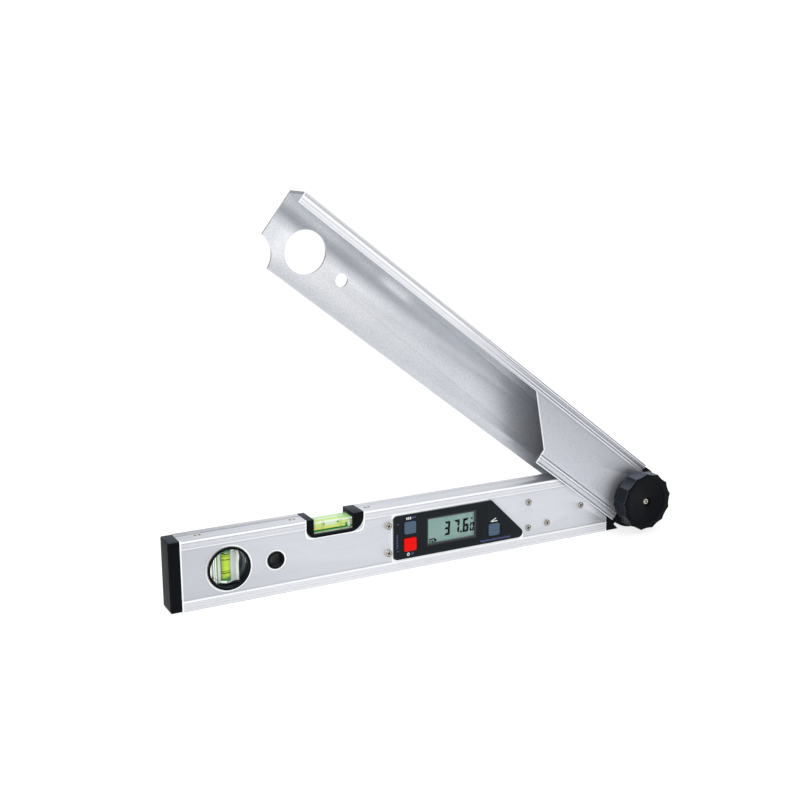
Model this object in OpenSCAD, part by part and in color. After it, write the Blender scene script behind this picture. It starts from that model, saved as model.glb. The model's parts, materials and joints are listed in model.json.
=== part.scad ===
// Digital protractor: a hollow level beam and a folding channel arm on one hinge.
// Origin: middle of the beam's flat underside. X runs along the beam to the hinge,
// Y runs from the display side (negative) to the back, Z is up. Sizes in millimetres.

/* [Beam] */
// Length of the aluminium beam, end cap not counted
base_len = 394; // [380:1:440]
// Height of the beam
base_h = 56; // [55:0.5:60]
// Depth of the beam from front face to back face
base_t = 20; // [20:0.5:24]
// Thickness of the beam's front, back and top walls
wall = 2.2; // [1.8:0.1:2.2]
// Thickness of the beam's floor behind the measuring face
floor_t = 3; // [2.5:0.1:3.5]
// Depth of the smooth panel between the two ribbed bands
panel_depth = 0.4; // [0.2:0.05:0.4]
// Height of the lower ribbed band
band_low = 8.4; // [7.6:0.1:8.6]
// Height of the upper ribbed band
band_top = 7.1; // [6.5:0.1:7.5]
// Length of the plastic end cap outside the beam
cap_len = 9; // [6:0.5:12]

/* [Vials] */
// Outer radius of the round vial's ring
ring_r = 17.2; // [16:0.1:18]
// Outer radius of the flange round the hanging hole
sleeve_r = 7.1; // [6.5:0.1:8]
// Radius of the hanging hole
hang_r = 5.3; // [4.5:0.1:5.6]
// Length of the horizontal vial
level_len = 34; // [28:0.5:36]
// Radius of the liquid barrel in the round vial
round_barrel_r = 4.7; // [4:0.1:4.8]
// Radius of the liquid barrel in the horizontal vial
level_barrel_r = 4.1; // [3.6:0.1:4.2]

/* [Display] */
// Height of the display surround
bezel_h = 37.6; // [36.6:0.2:38.4]
// How far the surround stands out from the panel
bezel_out = 1.3; // [1:0.1:1.6]
// Width of the display window
win_w = 44.5; // [40:0.1:46]
// Height of the display window
win_h = 21.3; // [18:0.1:22]
// Side of the square buttons
button_w = 10.4; // [8:0.1:11]
// Travel of the buttons
button_travel = 0.6; // [0.4:0.1:0.6]
// Gap round each button in the surround
button_gap = 0.35; // [0.3:0.05:0.5]

/* [Folding arm] */
// Reach of the arm from the hinge axis to its tip
arm_len = 419; // [405:1:419]
// Thickness of the arm's spine
spine_t = 2.8; // [2.4:0.1:3.2]
// Thickness of the arm's back plate
back_t = 2.2; // [1.8:0.1:2.6]
// Thickness of the arm's front plate and lip
front_t = 1.8; // [1.4:0.1:2.2]
// Height of the front lip below the outer face of the spine
lip_h = 9.2; // [8:0.1:9.8]
// Free gap left between the folded arm's spine and the beam
nest_gap = 0.4; // [0.4:0.1:1]
// Radius of the finger notch at the arm's tip
notch_r = 18.5; // [15:0.5:20]

/* [Hinge] */
// Distance from the end of the aluminium beam to the hinge axis
hub_reach = 26; // [25.5:0.5:28]
// Radius of the hinge shaft
shaft_r = 6; // [5:0.1:6.5]
// Running gap between shaft and bush, measured on the radius
run_gap = 0.05; // [0.03:0.01:0.08]
// Outer radius of the clamping knob over its ridges
knob_r = 26; // [24:0.5:27]
// Thickness of the clamping knob
knob_h = 17.5; // [16:0.5:18.5]
// Length of the ridged part of the knob
grip_len = 12.5; // [11:0.5:13]
// Radius of the shallow hollows between the knob's ridges
grip_r = 26; // [18:1:30]
// Number of ridges on the clamping knob
knob_ridges = 13; // [11:1:14]

/* [Hidden] */
$fn = 64;
rest_angle = 37.6;

x_left = -base_len / 2;
x_right = base_len / 2;
y_front = -base_t / 2;
y_back = base_t / 2;
y_panel = y_front + panel_depth;
cav_y = base_t / 2 - wall;
cav_top = base_h - wall;

pivot_x = x_right + hub_reach;
pivot_z = (base_h + spine_t + nest_gap) / 2;
n_out = pivot_z;
n_in = base_h + nest_gap - pivot_z;
n_lip = n_out - lip_h;
n_low = 0.4 - pivot_z;
n_front_low = 1.1 - pivot_z;
arm_root = 5.5;

plug_in = 10;
cap_screw_in = plug_in + 6.5;
lug_left = 14;
lug_right = 12.6;
washer_r = 16;
knob_recess = 4.2;
knob_head = 2.7;
knob_phase = 8.5;
grip_d = 1.5;
groove_w = 0.6;
groove_d = 0.4;
lip_step = 0.7;
block_half = 5.9;
stop_gap = 0.5;
ring_x = x_left + 37.9;
ring_z = base_h / 2 + 0.3;
sleeve_x = ring_x + 38.1;
sleeve_z = base_h / 2 + 0.2;
ring_in = ring_r - 1.9;

notch_x0 = sleeve_x + 26;
level_x0 = notch_x0 + 6.4;
level_x1 = level_x0 + level_len;
notch_x1 = level_x1 + 9.3;
notch_z = base_h - 15.4;
level_y = -1.5;
level_top = notch_z + 11.9;
level_z = notch_z + 7.35;

bz_x0 = notch_x1 + lug_right + 14;
bz_z0 = base_h / 2 - 18.4;
bz_z1 = bz_z0 + bezel_h;
bz_tip = bz_x0 + 125;
bz_ra = 3.5;
bz_rc = 2.4;
bz_rd = 4.2;
root2 = sqrt(2);
bz_dx = bz_tip - bz_rd;
bz_cx = bz_dx + bz_z0 + bz_rd * (1 + root2) - bz_z1 + bz_rc * (1 - root2);
top_screw_x = [x_left + cap_screw_in, notch_x0 - lug_left + 5.4, notch_x1 + lug_right - 5.8];
y_bezel = y_panel - bezel_out;
y_bez_in = y_front + 1.4;
win_x0 = bz_x0 + 32.4;
win_x1 = win_x0 + win_w;
win_z0 = bz_z0 + 8.8;
win_z1 = win_z0 + win_h;
y_lens = y_bez_in - 0.8;
y_lcd0 = y_bez_in + 0.1;
y_lcd1 = y_lcd0 + 1.6;
y_pcb0 = y_lcd1 + 0.7;
y_pcb1 = y_pcb0 + 1.2;
btn_x = bz_x0 + 14.8;
btn_hold_z = bz_z1 - 11.2;
btn_power_z = bz_z0 + 12;
btn_mitre_x = bz_x0 + 95.7;
btn_mitre_z = bz_z0 + 11.7;
power_w = button_w + 0.6;
y_flange = y_bez_in + 0.3;

tray_x0 = bz_x0 - 10.4;
tray_x1 = bz_tip - 2.3;
tray_z0 = bz_z0 - 1.1;
tray_z1 = bz_z1 + 1.1;
tray_y0 = -cav_y + 0.1;
tray_y1 = cav_y - 0.1;
cell_r = 5.2;
cell_len = 44.5;
cell_y = y_back - 2.2 - cell_r;
cell_x0 = bz_x0 + 28;
cell_gap_z = 11.4;
cell_z = (bz_z0 + bz_z1) / 2;
door_x0 = cell_x0 - 6;
door_x1 = cell_x0 + cell_len + 6;
door_z0 = cell_z - 12.5;
door_z1 = cell_z + 12.5;
tray_screw_x = bz_x0 - 4.5;
tray_screw_z = [bz_z0 + 7.2, bz_z1 - 7.1];

tenon_x0 = bz_tip + 0.9;
hub_r = base_h - pivot_z;
hub_screw_in = 5.6;
hub_screw_row = 19.6;
hub_screw_end = 28.9;
hub_screw_at = [
  [tenon_x0 + hub_screw_in, pivot_z + 9.8],
  [tenon_x0 + hub_screw_in, pivot_z - 13.3],
  [tenon_x0 + hub_screw_in + hub_screw_row, pivot_z - 11.7],
  [x_right - hub_screw_end, pivot_z - 1.3]
];
cheek_r = n_out - 1;
y_cheek_in = y_front - 0.4;
y_tongue = y_cheek_in - 1.2;
y_arm_front = y_tongue - front_t;
y_arm_in = y_back + 4.4;
y_arm_back = y_arm_in + back_t;
y_rear_in = y_back + 0.6;
tongue_len = 70;
bush_r = shaft_r + 2;
stud_r = 4;
y_rec = y_front + 14.4;
rec_r = 22;
y_washer = y_arm_front - 2.3;
y_knob_back = y_washer - 0.3;
y_knob_front = y_knob_back - knob_h;
edge_u1 = pivot_x - bz_cx - bz_rc;
edge_n1 = bz_z1 - pivot_z;

alu = [0.78, 0.79, 0.81];
black = [0.1, 0.1, 0.11];
steel = [0.62, 0.63, 0.65];
brass = [0.78, 0.62, 0.3];
clear = [0.82, 0.92, 0.85];
liquid = [0.75, 0.88, 0.2];
green = [0.05, 0.45, 0.2];
grey = [0.36, 0.4, 0.46];

// Cylinder lying along Y between two depths.
module ycyl(x, z, r, y0, y1) {
  translate([x, y1, z]) rotate([90, 0, 0]) cylinder(h = y1 - y0, r = r);
}

// Cone lying along Y: radius ra at depth y0, rb at depth y1.
module ycone(x, z, ra, rb, y0, y1) {
  translate([x, y1, z]) rotate([90, 0, 0]) cylinder(h = y1 - y0, r1 = rb, r2 = ra);
}

// Box given by its two opposite corners.
module box(x0, x1, y0, y1, z0, z1) {
  translate([x0, y0, z0]) cube([x1 - x0, y1 - y0, z1 - z0]);
}

// Flat outline drawn in X and Z, thickened between two depths.
module yplate(y0, y1) {
  translate([0, y1, 0]) rotate([90, 0, 0]) linear_extrude(y1 - y0) children();
}

// Outline drawn in Y and Z, drawn out along X.
module xbar(x0, x1) {
  translate([x0, 0, 0]) rotate([90, 0, 90]) linear_extrude(x1 - x0) children();
}

// Rectangle with four round corners.
module rrect(x0, x1, z0, z1, r) {
  translate([x0 + r, z0]) square([x1 - x0 - 2 * r, z1 - z0]);
  translate([x0, z0 + r]) square([x1 - x0, z1 - z0 - 2 * r]);
  for (x = [x0 + r, x1 - r], z = [z0 + r, z1 - r]) translate([x, z]) circle(r);
}

// Puts a piece drawn in the folded position on the opened arm.
module on_arm() {
  translate([pivot_x, 0, pivot_z]) rotate([0, rest_angle, 0]) children();
}

// Section of the beam: hollow box, recessed panels, fine grooves on both bands.
module beam_profile() {
  difference() {
    translate([y_front, 0]) square([base_t, base_h]);
    translate([-cav_y, floor_t]) square([2 * cav_y, cav_top - floor_t]);
    for (s = [-1, 1]) {
      translate([s * (base_t / 2 + 1 - panel_depth) - 1, band_low])
        square([2, base_h - band_low - band_top]);
      for (z = [2.8, 4.7, 6.6, base_h - 4.8, base_h - 2.6])
        translate([s * (base_t / 2 + 0.5 - groove_d) - 0.5, z - groove_w / 2]) square([1, groove_w]);
    }
    translate([4, base_h - groove_d]) square([0.8, 1]);
  }
}

// Outline of the seat for the horizontal vial, shrunk by i.
module notch_shape(i) {
  ra = 8;
  rb = 12;
  translate([notch_x0 + ra, notch_z + ra]) circle(ra - i);
  translate([notch_x1 - rb, notch_z + rb]) circle(rb - i);
  polygon([[notch_x0 + i, base_h + 1], [notch_x0 + i, notch_z + ra],
    [notch_x0 + ra, notch_z + i], [notch_x1 - rb, notch_z + i],
    [notch_x1 - i, notch_z + rb], [notch_x1 - i, base_h + 1]]);
}

// Outline of the display surround, shrunk by i.
module bezel_shape(i) {
  a = bz_ra - i;
  c = bz_rc - i;
  d = bz_rd - i;
  k = 1 / root2;
  ax = bz_x0 + bz_ra;
  az = bz_z0 + bz_ra;
  bz = bz_z1 - bz_ra;
  cz = bz_z1 - bz_rc;
  dz = bz_z0 + bz_rd;
  translate([ax, az]) circle(a);
  translate([ax, bz]) circle(a);
  translate([bz_cx, cz]) circle(c);
  translate([bz_dx, dz]) circle(d);
  polygon([[ax, az - a], [bz_dx, dz - d], [bz_dx + k * d, dz + k * d],
    [bz_cx + k * c, cz + k * c], [bz_cx, cz + c], [ax, bz + a], [ax - a, bz], [ax - a, az]]);
}

module base_beam() color(alu) difference() {
  xbar(x_left, x_right) beam_profile();
  ycyl(ring_x, ring_z, ring_r - 1, y_front - 1, y_back + 1);
  ycyl(sleeve_x, sleeve_z, sleeve_r - 0.8, y_front - 1, y_back + 1);
  yplate(y_front - 1, y_back + 1) notch_shape(0);
  yplate(y_front - 1, -cav_y + 1) bezel_shape(1.6);
  box(door_x0, door_x1, cav_y - 1, y_back + 1, door_z0, door_z1);
  for (x = top_screw_x) {
    translate([x, -1.5, cav_top - 1]) cylinder(h = wall + 2, r = 1.6);
    translate([x, -1.5, base_h - 1.4]) cylinder(h = 1.5, r1 = 1.55, r2 = 2.95);
  }
  for (z = tray_screw_z) ycyl(tray_screw_x, z, 1.6, y_front - 1, -cav_y + 1);
  for (p = hub_screw_at) {
    ycyl(p[0], p[1], 1.6, y_front - 1, -cav_y + 1);
    ycyl(p[0], p[1], 3.1, y_front - 1, y_panel + 0.5);
  }
}

module cap_profile() {
  rrect(y_front, y_back, 0, base_h, 1.6);
}
module end_cap() color(black) {
  plug_end = ring_x - ring_r - 0.2;
  difference() {
    intersection() {
      xbar(x_left - cap_len, x_left) cap_profile();
      yplate(y_front - 1, y_back + 1)
        rrect(x_left - cap_len, x_left + plug_in, 0, base_h, 1.8);
      translate([0, 0, -1]) linear_extrude(base_h + 2)
        rrect(x_left - cap_len, x_left + plug_in, y_front, y_back, 1.8);
    }
    box(x_left - 3, x_left + 1, -cav_y + 2.2, cav_y - 2.2, floor_t + 2.4, cav_top - 2.4);
  }
  difference() {
    box(x_left, plug_end, -cav_y + 0.1, cav_y - 0.1, floor_t + 0.1, cav_top - 0.1);
    difference() {
      box(x_left - 1, plug_end + 1, -cav_y + 2, cav_y - 2, floor_t + 2, cav_top - 2);
      box(x_left - 1, plug_end + 1, -6, 3, cav_top - 10, cav_top - 1);
    }
    translate([top_screw_x[0], -1.5, cav_top - 8.2]) cylinder(h = 9, r = 1.35);
  }
}

// Countersunk screw standing along Z with its head face at the top.
module flat_screw_up(x, y, z, len, r, head) {
  difference() {
    union() {
      translate([x, y, z - len]) cylinder(h = len - 0.1, r = r);
      translate([x, y, z - 1.35]) cylinder(h = 1.35, r1 = r, r2 = head);
    }
    translate([x, y, z - 0.35]) cube([head * 1.2, 0.7, 0.8], center = true);
    translate([x, y, z - 0.35]) cube([0.7, head * 1.2, 0.8], center = true);
  }
}
module top_screws() color(steel) {
  for (x = top_screw_x) flat_screw_up(x, -1.5, base_h - 0.02, 9, 1.3, 2.85);
}

module round_ring_front() color(black) difference() {
  union() {
    ycyl(ring_x, ring_z, ring_r, y_panel - 1.1, y_panel);
    ycyl(ring_x, ring_z, ring_r - 1.1, y_panel - 0.1, 3.9);
    ycyl(ring_x, ring_z, ring_in, 0, 3.9);
  }
  difference() {
    ycyl(ring_x, ring_z, ring_in, y_panel - 2, 5);
    for (s = [-1, 1]) box(ring_x - 7, ring_x + 7, -block_half, 3.9,
      ring_z + (s > 0 ? 13.2 : -ring_in), ring_z + (s > 0 ? ring_in : -13.2));
  }
  box(ring_x - 9.3, ring_x + 9.3, -block_half - 0.1, 5, ring_z - 13.4, ring_z + 13.4);
}

module round_ring_rear() color(black) difference() {
  union() {
    ycyl(ring_x, ring_z, ring_r, -y_panel, -y_panel + 1.1);
    ycyl(ring_x, ring_z, ring_r - 1.1, 4, -y_panel + 0.1);
  }
  difference() {
    ycyl(ring_x, ring_z, ring_in, 3, y_back + 3);
    for (s = [-1, 1]) box(ring_x - 7, ring_x + 7, 4, 6.6,
      ring_z + (s > 0 ? 13.6 : -ring_in), ring_z + (s > 0 ? ring_in : -13.6));
  }
}

module round_vial_block() color(clear) difference() {
  union() {
    box(ring_x - 9, ring_x + 9, -block_half, block_half, ring_z - 12, ring_z + 12);
    translate([ring_x, 0, ring_z - 13.2]) cylinder(h = 26.4, r = round_barrel_r + 0.8);
  }
  translate([ring_x, 0, ring_z - 11.6]) cylinder(h = 26, r = round_barrel_r + 0.1);
}
module round_vial_liquid() color(liquid) difference() {
  translate([ring_x, 0, ring_z - 11.5]) cylinder(h = 22.4, r = round_barrel_r);
  translate([ring_x, 0, ring_z + 7.2]) cylinder(h = 5, r = 2.6);
}

module vial_plugs() color(green) {
  translate([ring_x, 0, ring_z + 11]) cylinder(h = 2, r = round_barrel_r + 0.02);
  translate([level_x1 - 2.2, level_y, level_z]) rotate([0, 90, 0])
    cylinder(h = 2, r = level_barrel_r + 0.02);
}

// Printed reading rings round the outside of the liquid barrels.
module vial_lines() color(black) {
  for (z = [ring_z - 5.6, ring_z + 5]) translate([ring_x, 0, z]) difference() {
    cylinder(h = 0.6, r = round_barrel_r + 0.09);
    translate([0, 0, -1]) cylinder(h = 3, r = round_barrel_r + 0.01);
  }
  for (x = [(level_x0 + level_x1) / 2 - 8, (level_x0 + level_x1) / 2 + 7.4])
    translate([x, level_y, level_z]) rotate([0, 90, 0]) difference() {
      cylinder(h = 0.6, r = level_barrel_r + 0.09);
      translate([0, 0, -1]) cylinder(h = 3, r = level_barrel_r + 0.01);
    }
}

module hole_sleeve() color(black) difference() {
  union() {
    ycyl(sleeve_x, sleeve_z, sleeve_r, y_panel - 0.6, y_panel);
    ycyl(sleeve_x, sleeve_z, sleeve_r - 0.85, y_panel - 0.1, -y_panel + 0.3);
  }
  ycyl(sleeve_x, sleeve_z, hang_r, y_front - 2, y_back + 2);
}

module level_frame() color(black) difference() {
  union() {
    intersection() {
      yplate(y_front, y_back) notch_shape(0.1);
      box(notch_x0, notch_x1, y_front, y_back, 0, base_h);
    }
    for (s = [0, 1]) box(s > 0 ? notch_x1 - 3 : notch_x0 - lug_left,
      s > 0 ? notch_x1 + lug_right : notch_x0 + 3,
      -cav_y + 0.3, cav_y - 0.3, notch_z + 4.5, cav_top - 0.05);
  }
  box(level_x0, level_x1, y_front - 1, y_back + 1, notch_z + 2.7, base_h + 2);
  for (s = [1, 2]) translate([top_screw_x[s], -1.5, cav_top - 8]) cylinder(h = 9, r = 1.35);
}

module level_vial_block() color(clear) difference() {
  union() {
    box(level_x0 + 0.05, level_x1 - 0.05, level_y - 6.5, level_y + 6.5, notch_z + 2.8, level_top);
    box(level_x0 + 0.05, level_x1 - 0.05, level_y - 2, y_back - 1, notch_z + 2.8, notch_z + 4);
  }
  translate([level_x0 + 2, level_y, level_z]) rotate([0, 90, 0])
    cylinder(h = level_len, r = level_barrel_r + 0.1);
}
module level_vial_liquid() color(liquid) difference() {
  translate([level_x0 + 2.1, level_y, level_z]) rotate([0, 90, 0])
    cylinder(h = level_len - 4.4, r = level_barrel_r);
  intersection() {
    translate([(level_x0 + level_x1) / 2 - 6.6, level_y, level_z + 2.2]) rotate([0, 90, 0])
      cylinder(h = 13.2, r = 2.3);
    translate([level_x0, level_y - 5, level_z]) cube([level_len, 10, level_barrel_r - 0.3]);
  }
}

// Sloping cut round the window, wider at the front.
module window_slope() {
  intersection() {
    xbar(win_x0 - 5, win_x1 + 5) polygon([[y_bezel - 0.2, win_z0 - 2.4], [y_bezel - 0.2, win_z1 + 2.4],
      [y_lens - 0.4, win_z1], [y_lens - 0.4, win_z0]]);
    translate([0, 0, win_z0 - 5]) linear_extrude(win_h + 10)
      polygon([[win_x0 - 2.4, y_bezel - 0.2], [win_x0, y_lens - 0.4],
        [win_x1, y_lens - 0.4], [win_x1 + 2.4, y_bezel - 0.2]]);
  }
}
module button_hole(x, z, w) {
  h = w / 2 + button_gap;
  yplate(y_bezel - 1, y_bez_in + 1) rrect(x - h, x + h, z - h, z + h, 1.6);
}
module display_bezel() color(black) difference() {
  union() {
    yplate(y_bezel, y_panel) bezel_shape(0);
    yplate(y_panel - 0.1, y_bez_in) bezel_shape(1.7);
  }
  window_slope();
  box(win_x0, win_x1, y_bezel, y_bez_in + 1, win_z0, win_z1);
  box(win_x0 - 1.5, win_x1 + 1.5, y_lens, y_bez_in + 1, win_z0 - 1.5, win_z1 + 1.5);
  button_hole(btn_x, btn_hold_z, button_w);
  button_hole(btn_x, btn_power_z, power_w);
  button_hole(btn_mitre_x, btn_mitre_z, button_w);
}
module display_window() color(clear)
  box(win_x0 - 1.4, win_x1 + 1.4, y_lens, y_bez_in, win_z0 - 1.4, win_z1 + 1.4);
module lcd_panel() color([0.55, 0.63, 0.58])
  box(win_x0 - 2, win_x1 + 2, y_lcd0, y_lcd1, win_z0 - 2.8, win_z1 + 2.8);
module lcd_connectors() color([0.85, 0.6, 0.65])
  for (z = [win_z0 - 2.4, win_z1 + 0.4])
    box(win_x0 - 1, win_x1 + 1, y_lcd1, y_pcb0, z, z + 2);

board_x0 = bz_x0 + 3;
board_x1 = tray_x1 - 3;
module circuit_board() color([0.1, 0.36, 0.2]) difference() {
  box(board_x0, board_x1, y_pcb0, y_pcb1, tray_z0 + 2.2, tray_z1 - 2.2);
  for (p = board_screw_at) ycyl(p[0], p[1], 1.2, y_pcb0 - 1, y_pcb1 + 1);
}
board_screw_at = [[board_x0 + 3, cell_z], [board_x1 - 4, bz_z0 + 5], [board_x1 - 4, bz_z1 - 5]];
module board_parts() color([0.13, 0.13, 0.14]) {
  box(btn_mitre_x - 6, btn_mitre_x + 6, y_pcb1, y_pcb1 + 1.2, cell_z - 2, cell_z + 10);
  ycyl(board_x1 - 9, bz_z0 + 14, 4, y_pcb1, y_pcb1 + 2.6);
  box(board_x0 + 8, board_x0 + 16, y_pcb1, y_pcb1 + 1, cell_z - 8, cell_z - 3);
  box(board_x0 + 9, board_x0 + 13, y_pcb1, y_pcb1 + 1.1, cell_z + 4, cell_z + 8);
}
module key_switches() color(steel)
  for (p = [[btn_x, btn_hold_z], [btn_x, btn_power_z], [btn_mitre_x, btn_mitre_z]]) {
    box(p[0] - 3, p[0] + 3, y_pcb0 - 0.45, y_pcb0, p[1] - 3, p[1] + 3);
    ycyl(p[0], p[1], 1.6, y_pcb0 - 0.55, y_pcb0 - 0.4);
  }

// Square key: soft top standing out of the surround, wider foot behind it.
module push_key(x, z, w) {
  h = w / 2;
  yplate(y_bezel - 1, y_flange + 0.1) rrect(x - h, x + h, z - h, z + h, 1.4);
  box(x - h - 0.9, x + h + 0.9, y_flange, y_flange + 0.6, z - h - 0.9, z + h + 0.9);
}
module hold_button() color(grey) push_key(btn_x, btn_hold_z, button_w);
module power_button() color([0.85, 0.08, 0.06]) push_key(btn_x, btn_power_z, power_w);
module mitre_button() color(grey) push_key(btn_mitre_x, btn_mitre_z, button_w);

module electronics_tray() color(black) difference() {
  box(tray_x0, tray_x1, tray_y0, tray_y1, tray_z0, tray_z1);
  difference() {
    box(board_x0 - 0.6, board_x1 + 0.6, tray_y0 - 1, tray_y1 - 1.5, tray_z0 + 1.6, tray_z1 - 1.6);
    box(door_x0 - 0.6, door_x1 + 0.6, y_pcb1 + 1.4, tray_y1, door_z0 - 1.6, door_z1 + 1.6);
    for (p = board_screw_at) ycyl(p[0], p[1], 2.6, y_pcb1, tray_y1);
  }
  box(door_x0 + 1, door_x1 - 1, cell_y - cell_r - 0.1, tray_y1 + 1, door_z0 + 0.9, door_z1 - 0.9);
  for (z = tray_screw_z) ycyl(tray_screw_x, z, 1.35, tray_y0 - 1, tray_y0 + 8);
  for (p = board_screw_at) ycyl(p[0], p[1], 0.95, y_pcb1 - 1, y_pcb1 + 5);
  box(tray_x0 + 1.6, board_x0 - 2.2, tray_y0 + 9.2, tray_y1 - 1.5, tray_z0 + 1.6, tray_z1 - 1.6);
  box(tray_x1 - 4, tray_x1 + 1, cable_y - 0.4, cable_y + 0.8, pivot_z - 4.6, pivot_z + 4.6);
}
cable_y = 3;

// Round-headed screw with a cross slot, standing out of the front.
module pan_screw(x, z, y, len, r, head, hh) {
  difference() {
    union() {
      ycyl(x, z, r, y, y + len);
      ycyl(x, z, head, y - hh, y);
      ycone(x, z, head * 0.7, head, y - hh - 0.4, y - hh);
    }
    box(x - head * 0.6, x + head * 0.6, y - hh - 1, y - hh + 0.5, z - 0.35, z + 0.35);
    box(x - 0.35, x + 0.35, y - hh - 1, y - hh + 0.5, z - head * 0.6, z + head * 0.6);
  }
}
module tray_screws() color(steel)
  for (z = tray_screw_z) pan_screw(tray_screw_x, z, y_panel, 8, 1.3, 2.8, 1.1);
module board_screws() color(steel)
  for (p = board_screw_at) pan_screw(p[0], p[1], y_pcb0, 4, 0.9, 1.8, 0.3);

module battery_cells() color([0.2, 0.35, 0.5])
  for (s = [-1, 1]) translate([cell_x0, cell_y, cell_z + s * cell_gap_z / 2]) rotate([0, 90, 0]) {
    translate([0, 0, s > 0 ? 0 : 0.8]) cylinder(h = cell_len - 0.8, r = cell_r);
    translate([0, 0, s > 0 ? cell_len - 1 : 0]) cylinder(h = 1, r = 1.9);
  }
module battery_contacts() color(steel) {
  for (s = [-1, 1]) {
    z = cell_z + s * cell_gap_z / 2;
    box(door_x0 + 1, door_x0 + 1.5, cell_y - 4, cell_y + 4, z - 4, z + 4);
    box(door_x1 - 1.5, door_x1 - 1, cell_y - 4, cell_y + 4, z - 4, z + 4);
    for (i = [0, 1]) translate([s > 0 ? door_x0 + 1.5 + i * 1.8 : door_x1 - 3.3 - i * 1.8, cell_y, z])
      rotate([0, 90, 0]) difference() {
        cylinder(h = 1.7, r = 3 - i * 0.8);
        translate([0, 0, -1]) cylinder(h = 4, r = 2.3 - i * 0.8);
      }
  }
}
module battery_door() color(black) {
  difference() {
    box(door_x0 + 0.35, door_x1 - 0.35, y_back - 2, y_back - 0.1, door_z0 + 0.35, door_z1 - 0.35);
    for (i = [0 : 4]) box(door_x1 - 12 + i * 1.8, door_x1 - 11.1 + i * 1.8, y_back - 0.6, y_back + 1,
      cell_z - 5, cell_z + 5);
  }
  box(door_x0 + 20, door_x0 + 28, y_back - 3.6, y_back - 1.9, door_z1 - 2.4, door_z1 - 1.25);
}

// Side view of the hub head; the slanting cut is where the arm stops when wide open.
module hub_shape() {
  translate([pivot_x, pivot_z]) {
    circle(hub_r);
    polygon([[-hub_reach, -pivot_z], [stop_x, -pivot_z], stop_point(stop_u, n_out + stop_gap),
      stop_point(stop_u, n_in - 0.2), [0, 0], [0, hub_r], [-hub_reach, hub_r]]);
  }
}
stop_x = -(n_out + stop_gap) * root2 + pivot_z;
stop_u = arm_root - stop_gap;
// Point at distance u and height n on the arm when it stands wide open.
function stop_point(u, n) = [(u - n) / root2, -(u + n) / root2];
module base_hub() color(black) difference() {
  union() {
    difference() {
      yplate(y_front, y_back) hub_shape();
      box(x_right - 2, x_right + 0.05, y_front - 1, y_back + 1, -1, base_h + 1);
    }
    box(tenon_x0, x_right + 1, -cav_y + 0.1, cav_y - 0.1, floor_t + 0.1, cav_top - 0.1);
  }
  ycyl(pivot_x, pivot_z, bush_r, y_front - 1, y_back + 1);
  ycyl(pivot_x, pivot_z, rec_r, y_rec, y_back + 1);
  ycyl(pivot_x, pivot_z, washer_r + 0.2, y_front - 1, y_front + 0.8);
  box(tenon_x0 - 1, pivot_x - bush_r, cable_y - 0.1, cable_y + 0.5, pivot_z - 4.2, pivot_z + 4.2);
  box(pivot_x - bush_r - 3, pivot_x - bush_r, cable_y - 0.1, y_rec + 0.1, pivot_z - 4.2, pivot_z + 4.2);
  box(tenon_x0 + 30, tenon_x0 + 42, -cav_y - 1, cav_y + 1, pivot_z - 8, pivot_z + 16);
  box(x_right - 16, x_right - 8, -cav_y - 1, cav_y + 1, pivot_z - 16, pivot_z + 16);
  for (p = hub_screw_at) ycyl(p[0], p[1], 1.5, -cav_y - 1, 2.2);
}

module hub_screws() color(steel)
  for (p = hub_screw_at) pan_screw(p[0], p[1], y_panel + 0.5, 11, 1.45, 2.6, 0.6);

module bearing_bush() color(brass) difference() {
  ycyl(pivot_x, pivot_z, bush_r - 0.02, y_front + 0.8, y_rec);
  ycyl(pivot_x, pivot_z, shaft_r + run_gap, y_front - 1, y_back);
}
module encoder_stator() color([0.1, 0.36, 0.2]) difference() {
  ycyl(pivot_x, pivot_z, rec_r - 0.2, y_rec, y_rec + 1.4);
  ycyl(pivot_x, pivot_z, bush_r + 1, y_rec - 1, y_rec + 3);
}
module encoder_cable() color([0.85, 0.55, 0.2]) {
  box(board_x1 - 2.4, pivot_x - bush_r - 2, cable_y, cable_y + 0.4, pivot_z - 4, pivot_z + 4);
  box(board_x1 - 2.4, board_x1 - 2, y_pcb1, cable_y + 0.4, pivot_z - 4, pivot_z + 4);
  box(pivot_x - bush_r - 2.4, pivot_x - bush_r - 2, cable_y, y_rec, pivot_z - 4, pivot_z + 4);
}
module friction_washer() color([0.25, 0.22, 0.2]) difference() {
  ycyl(pivot_x, pivot_z, washer_r, y_front - 0.1, y_front + 0.8);
  ycyl(pivot_x, pivot_z, bush_r, y_front - 1, y_front + 2);
}
module encoder_rotor() color([0.75, 0.76, 0.7]) on_arm() difference() {
  union() {
    ycyl(0, 0, rec_r - 2, y_rec + 2.2, y_rec + 3.2);
    ycyl(0, 0, 9.5, y_rec + 2.2, y_rear_in);
    for (i = [0 : 5]) rotate([0, i * 60, 0]) box(13, 18, y_rec + 1.9, y_rec + 2.3, -2, 2);
  }
  ycyl(0, 0, shaft_r + 0.02, y_front, y_arm_back);
}

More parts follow.
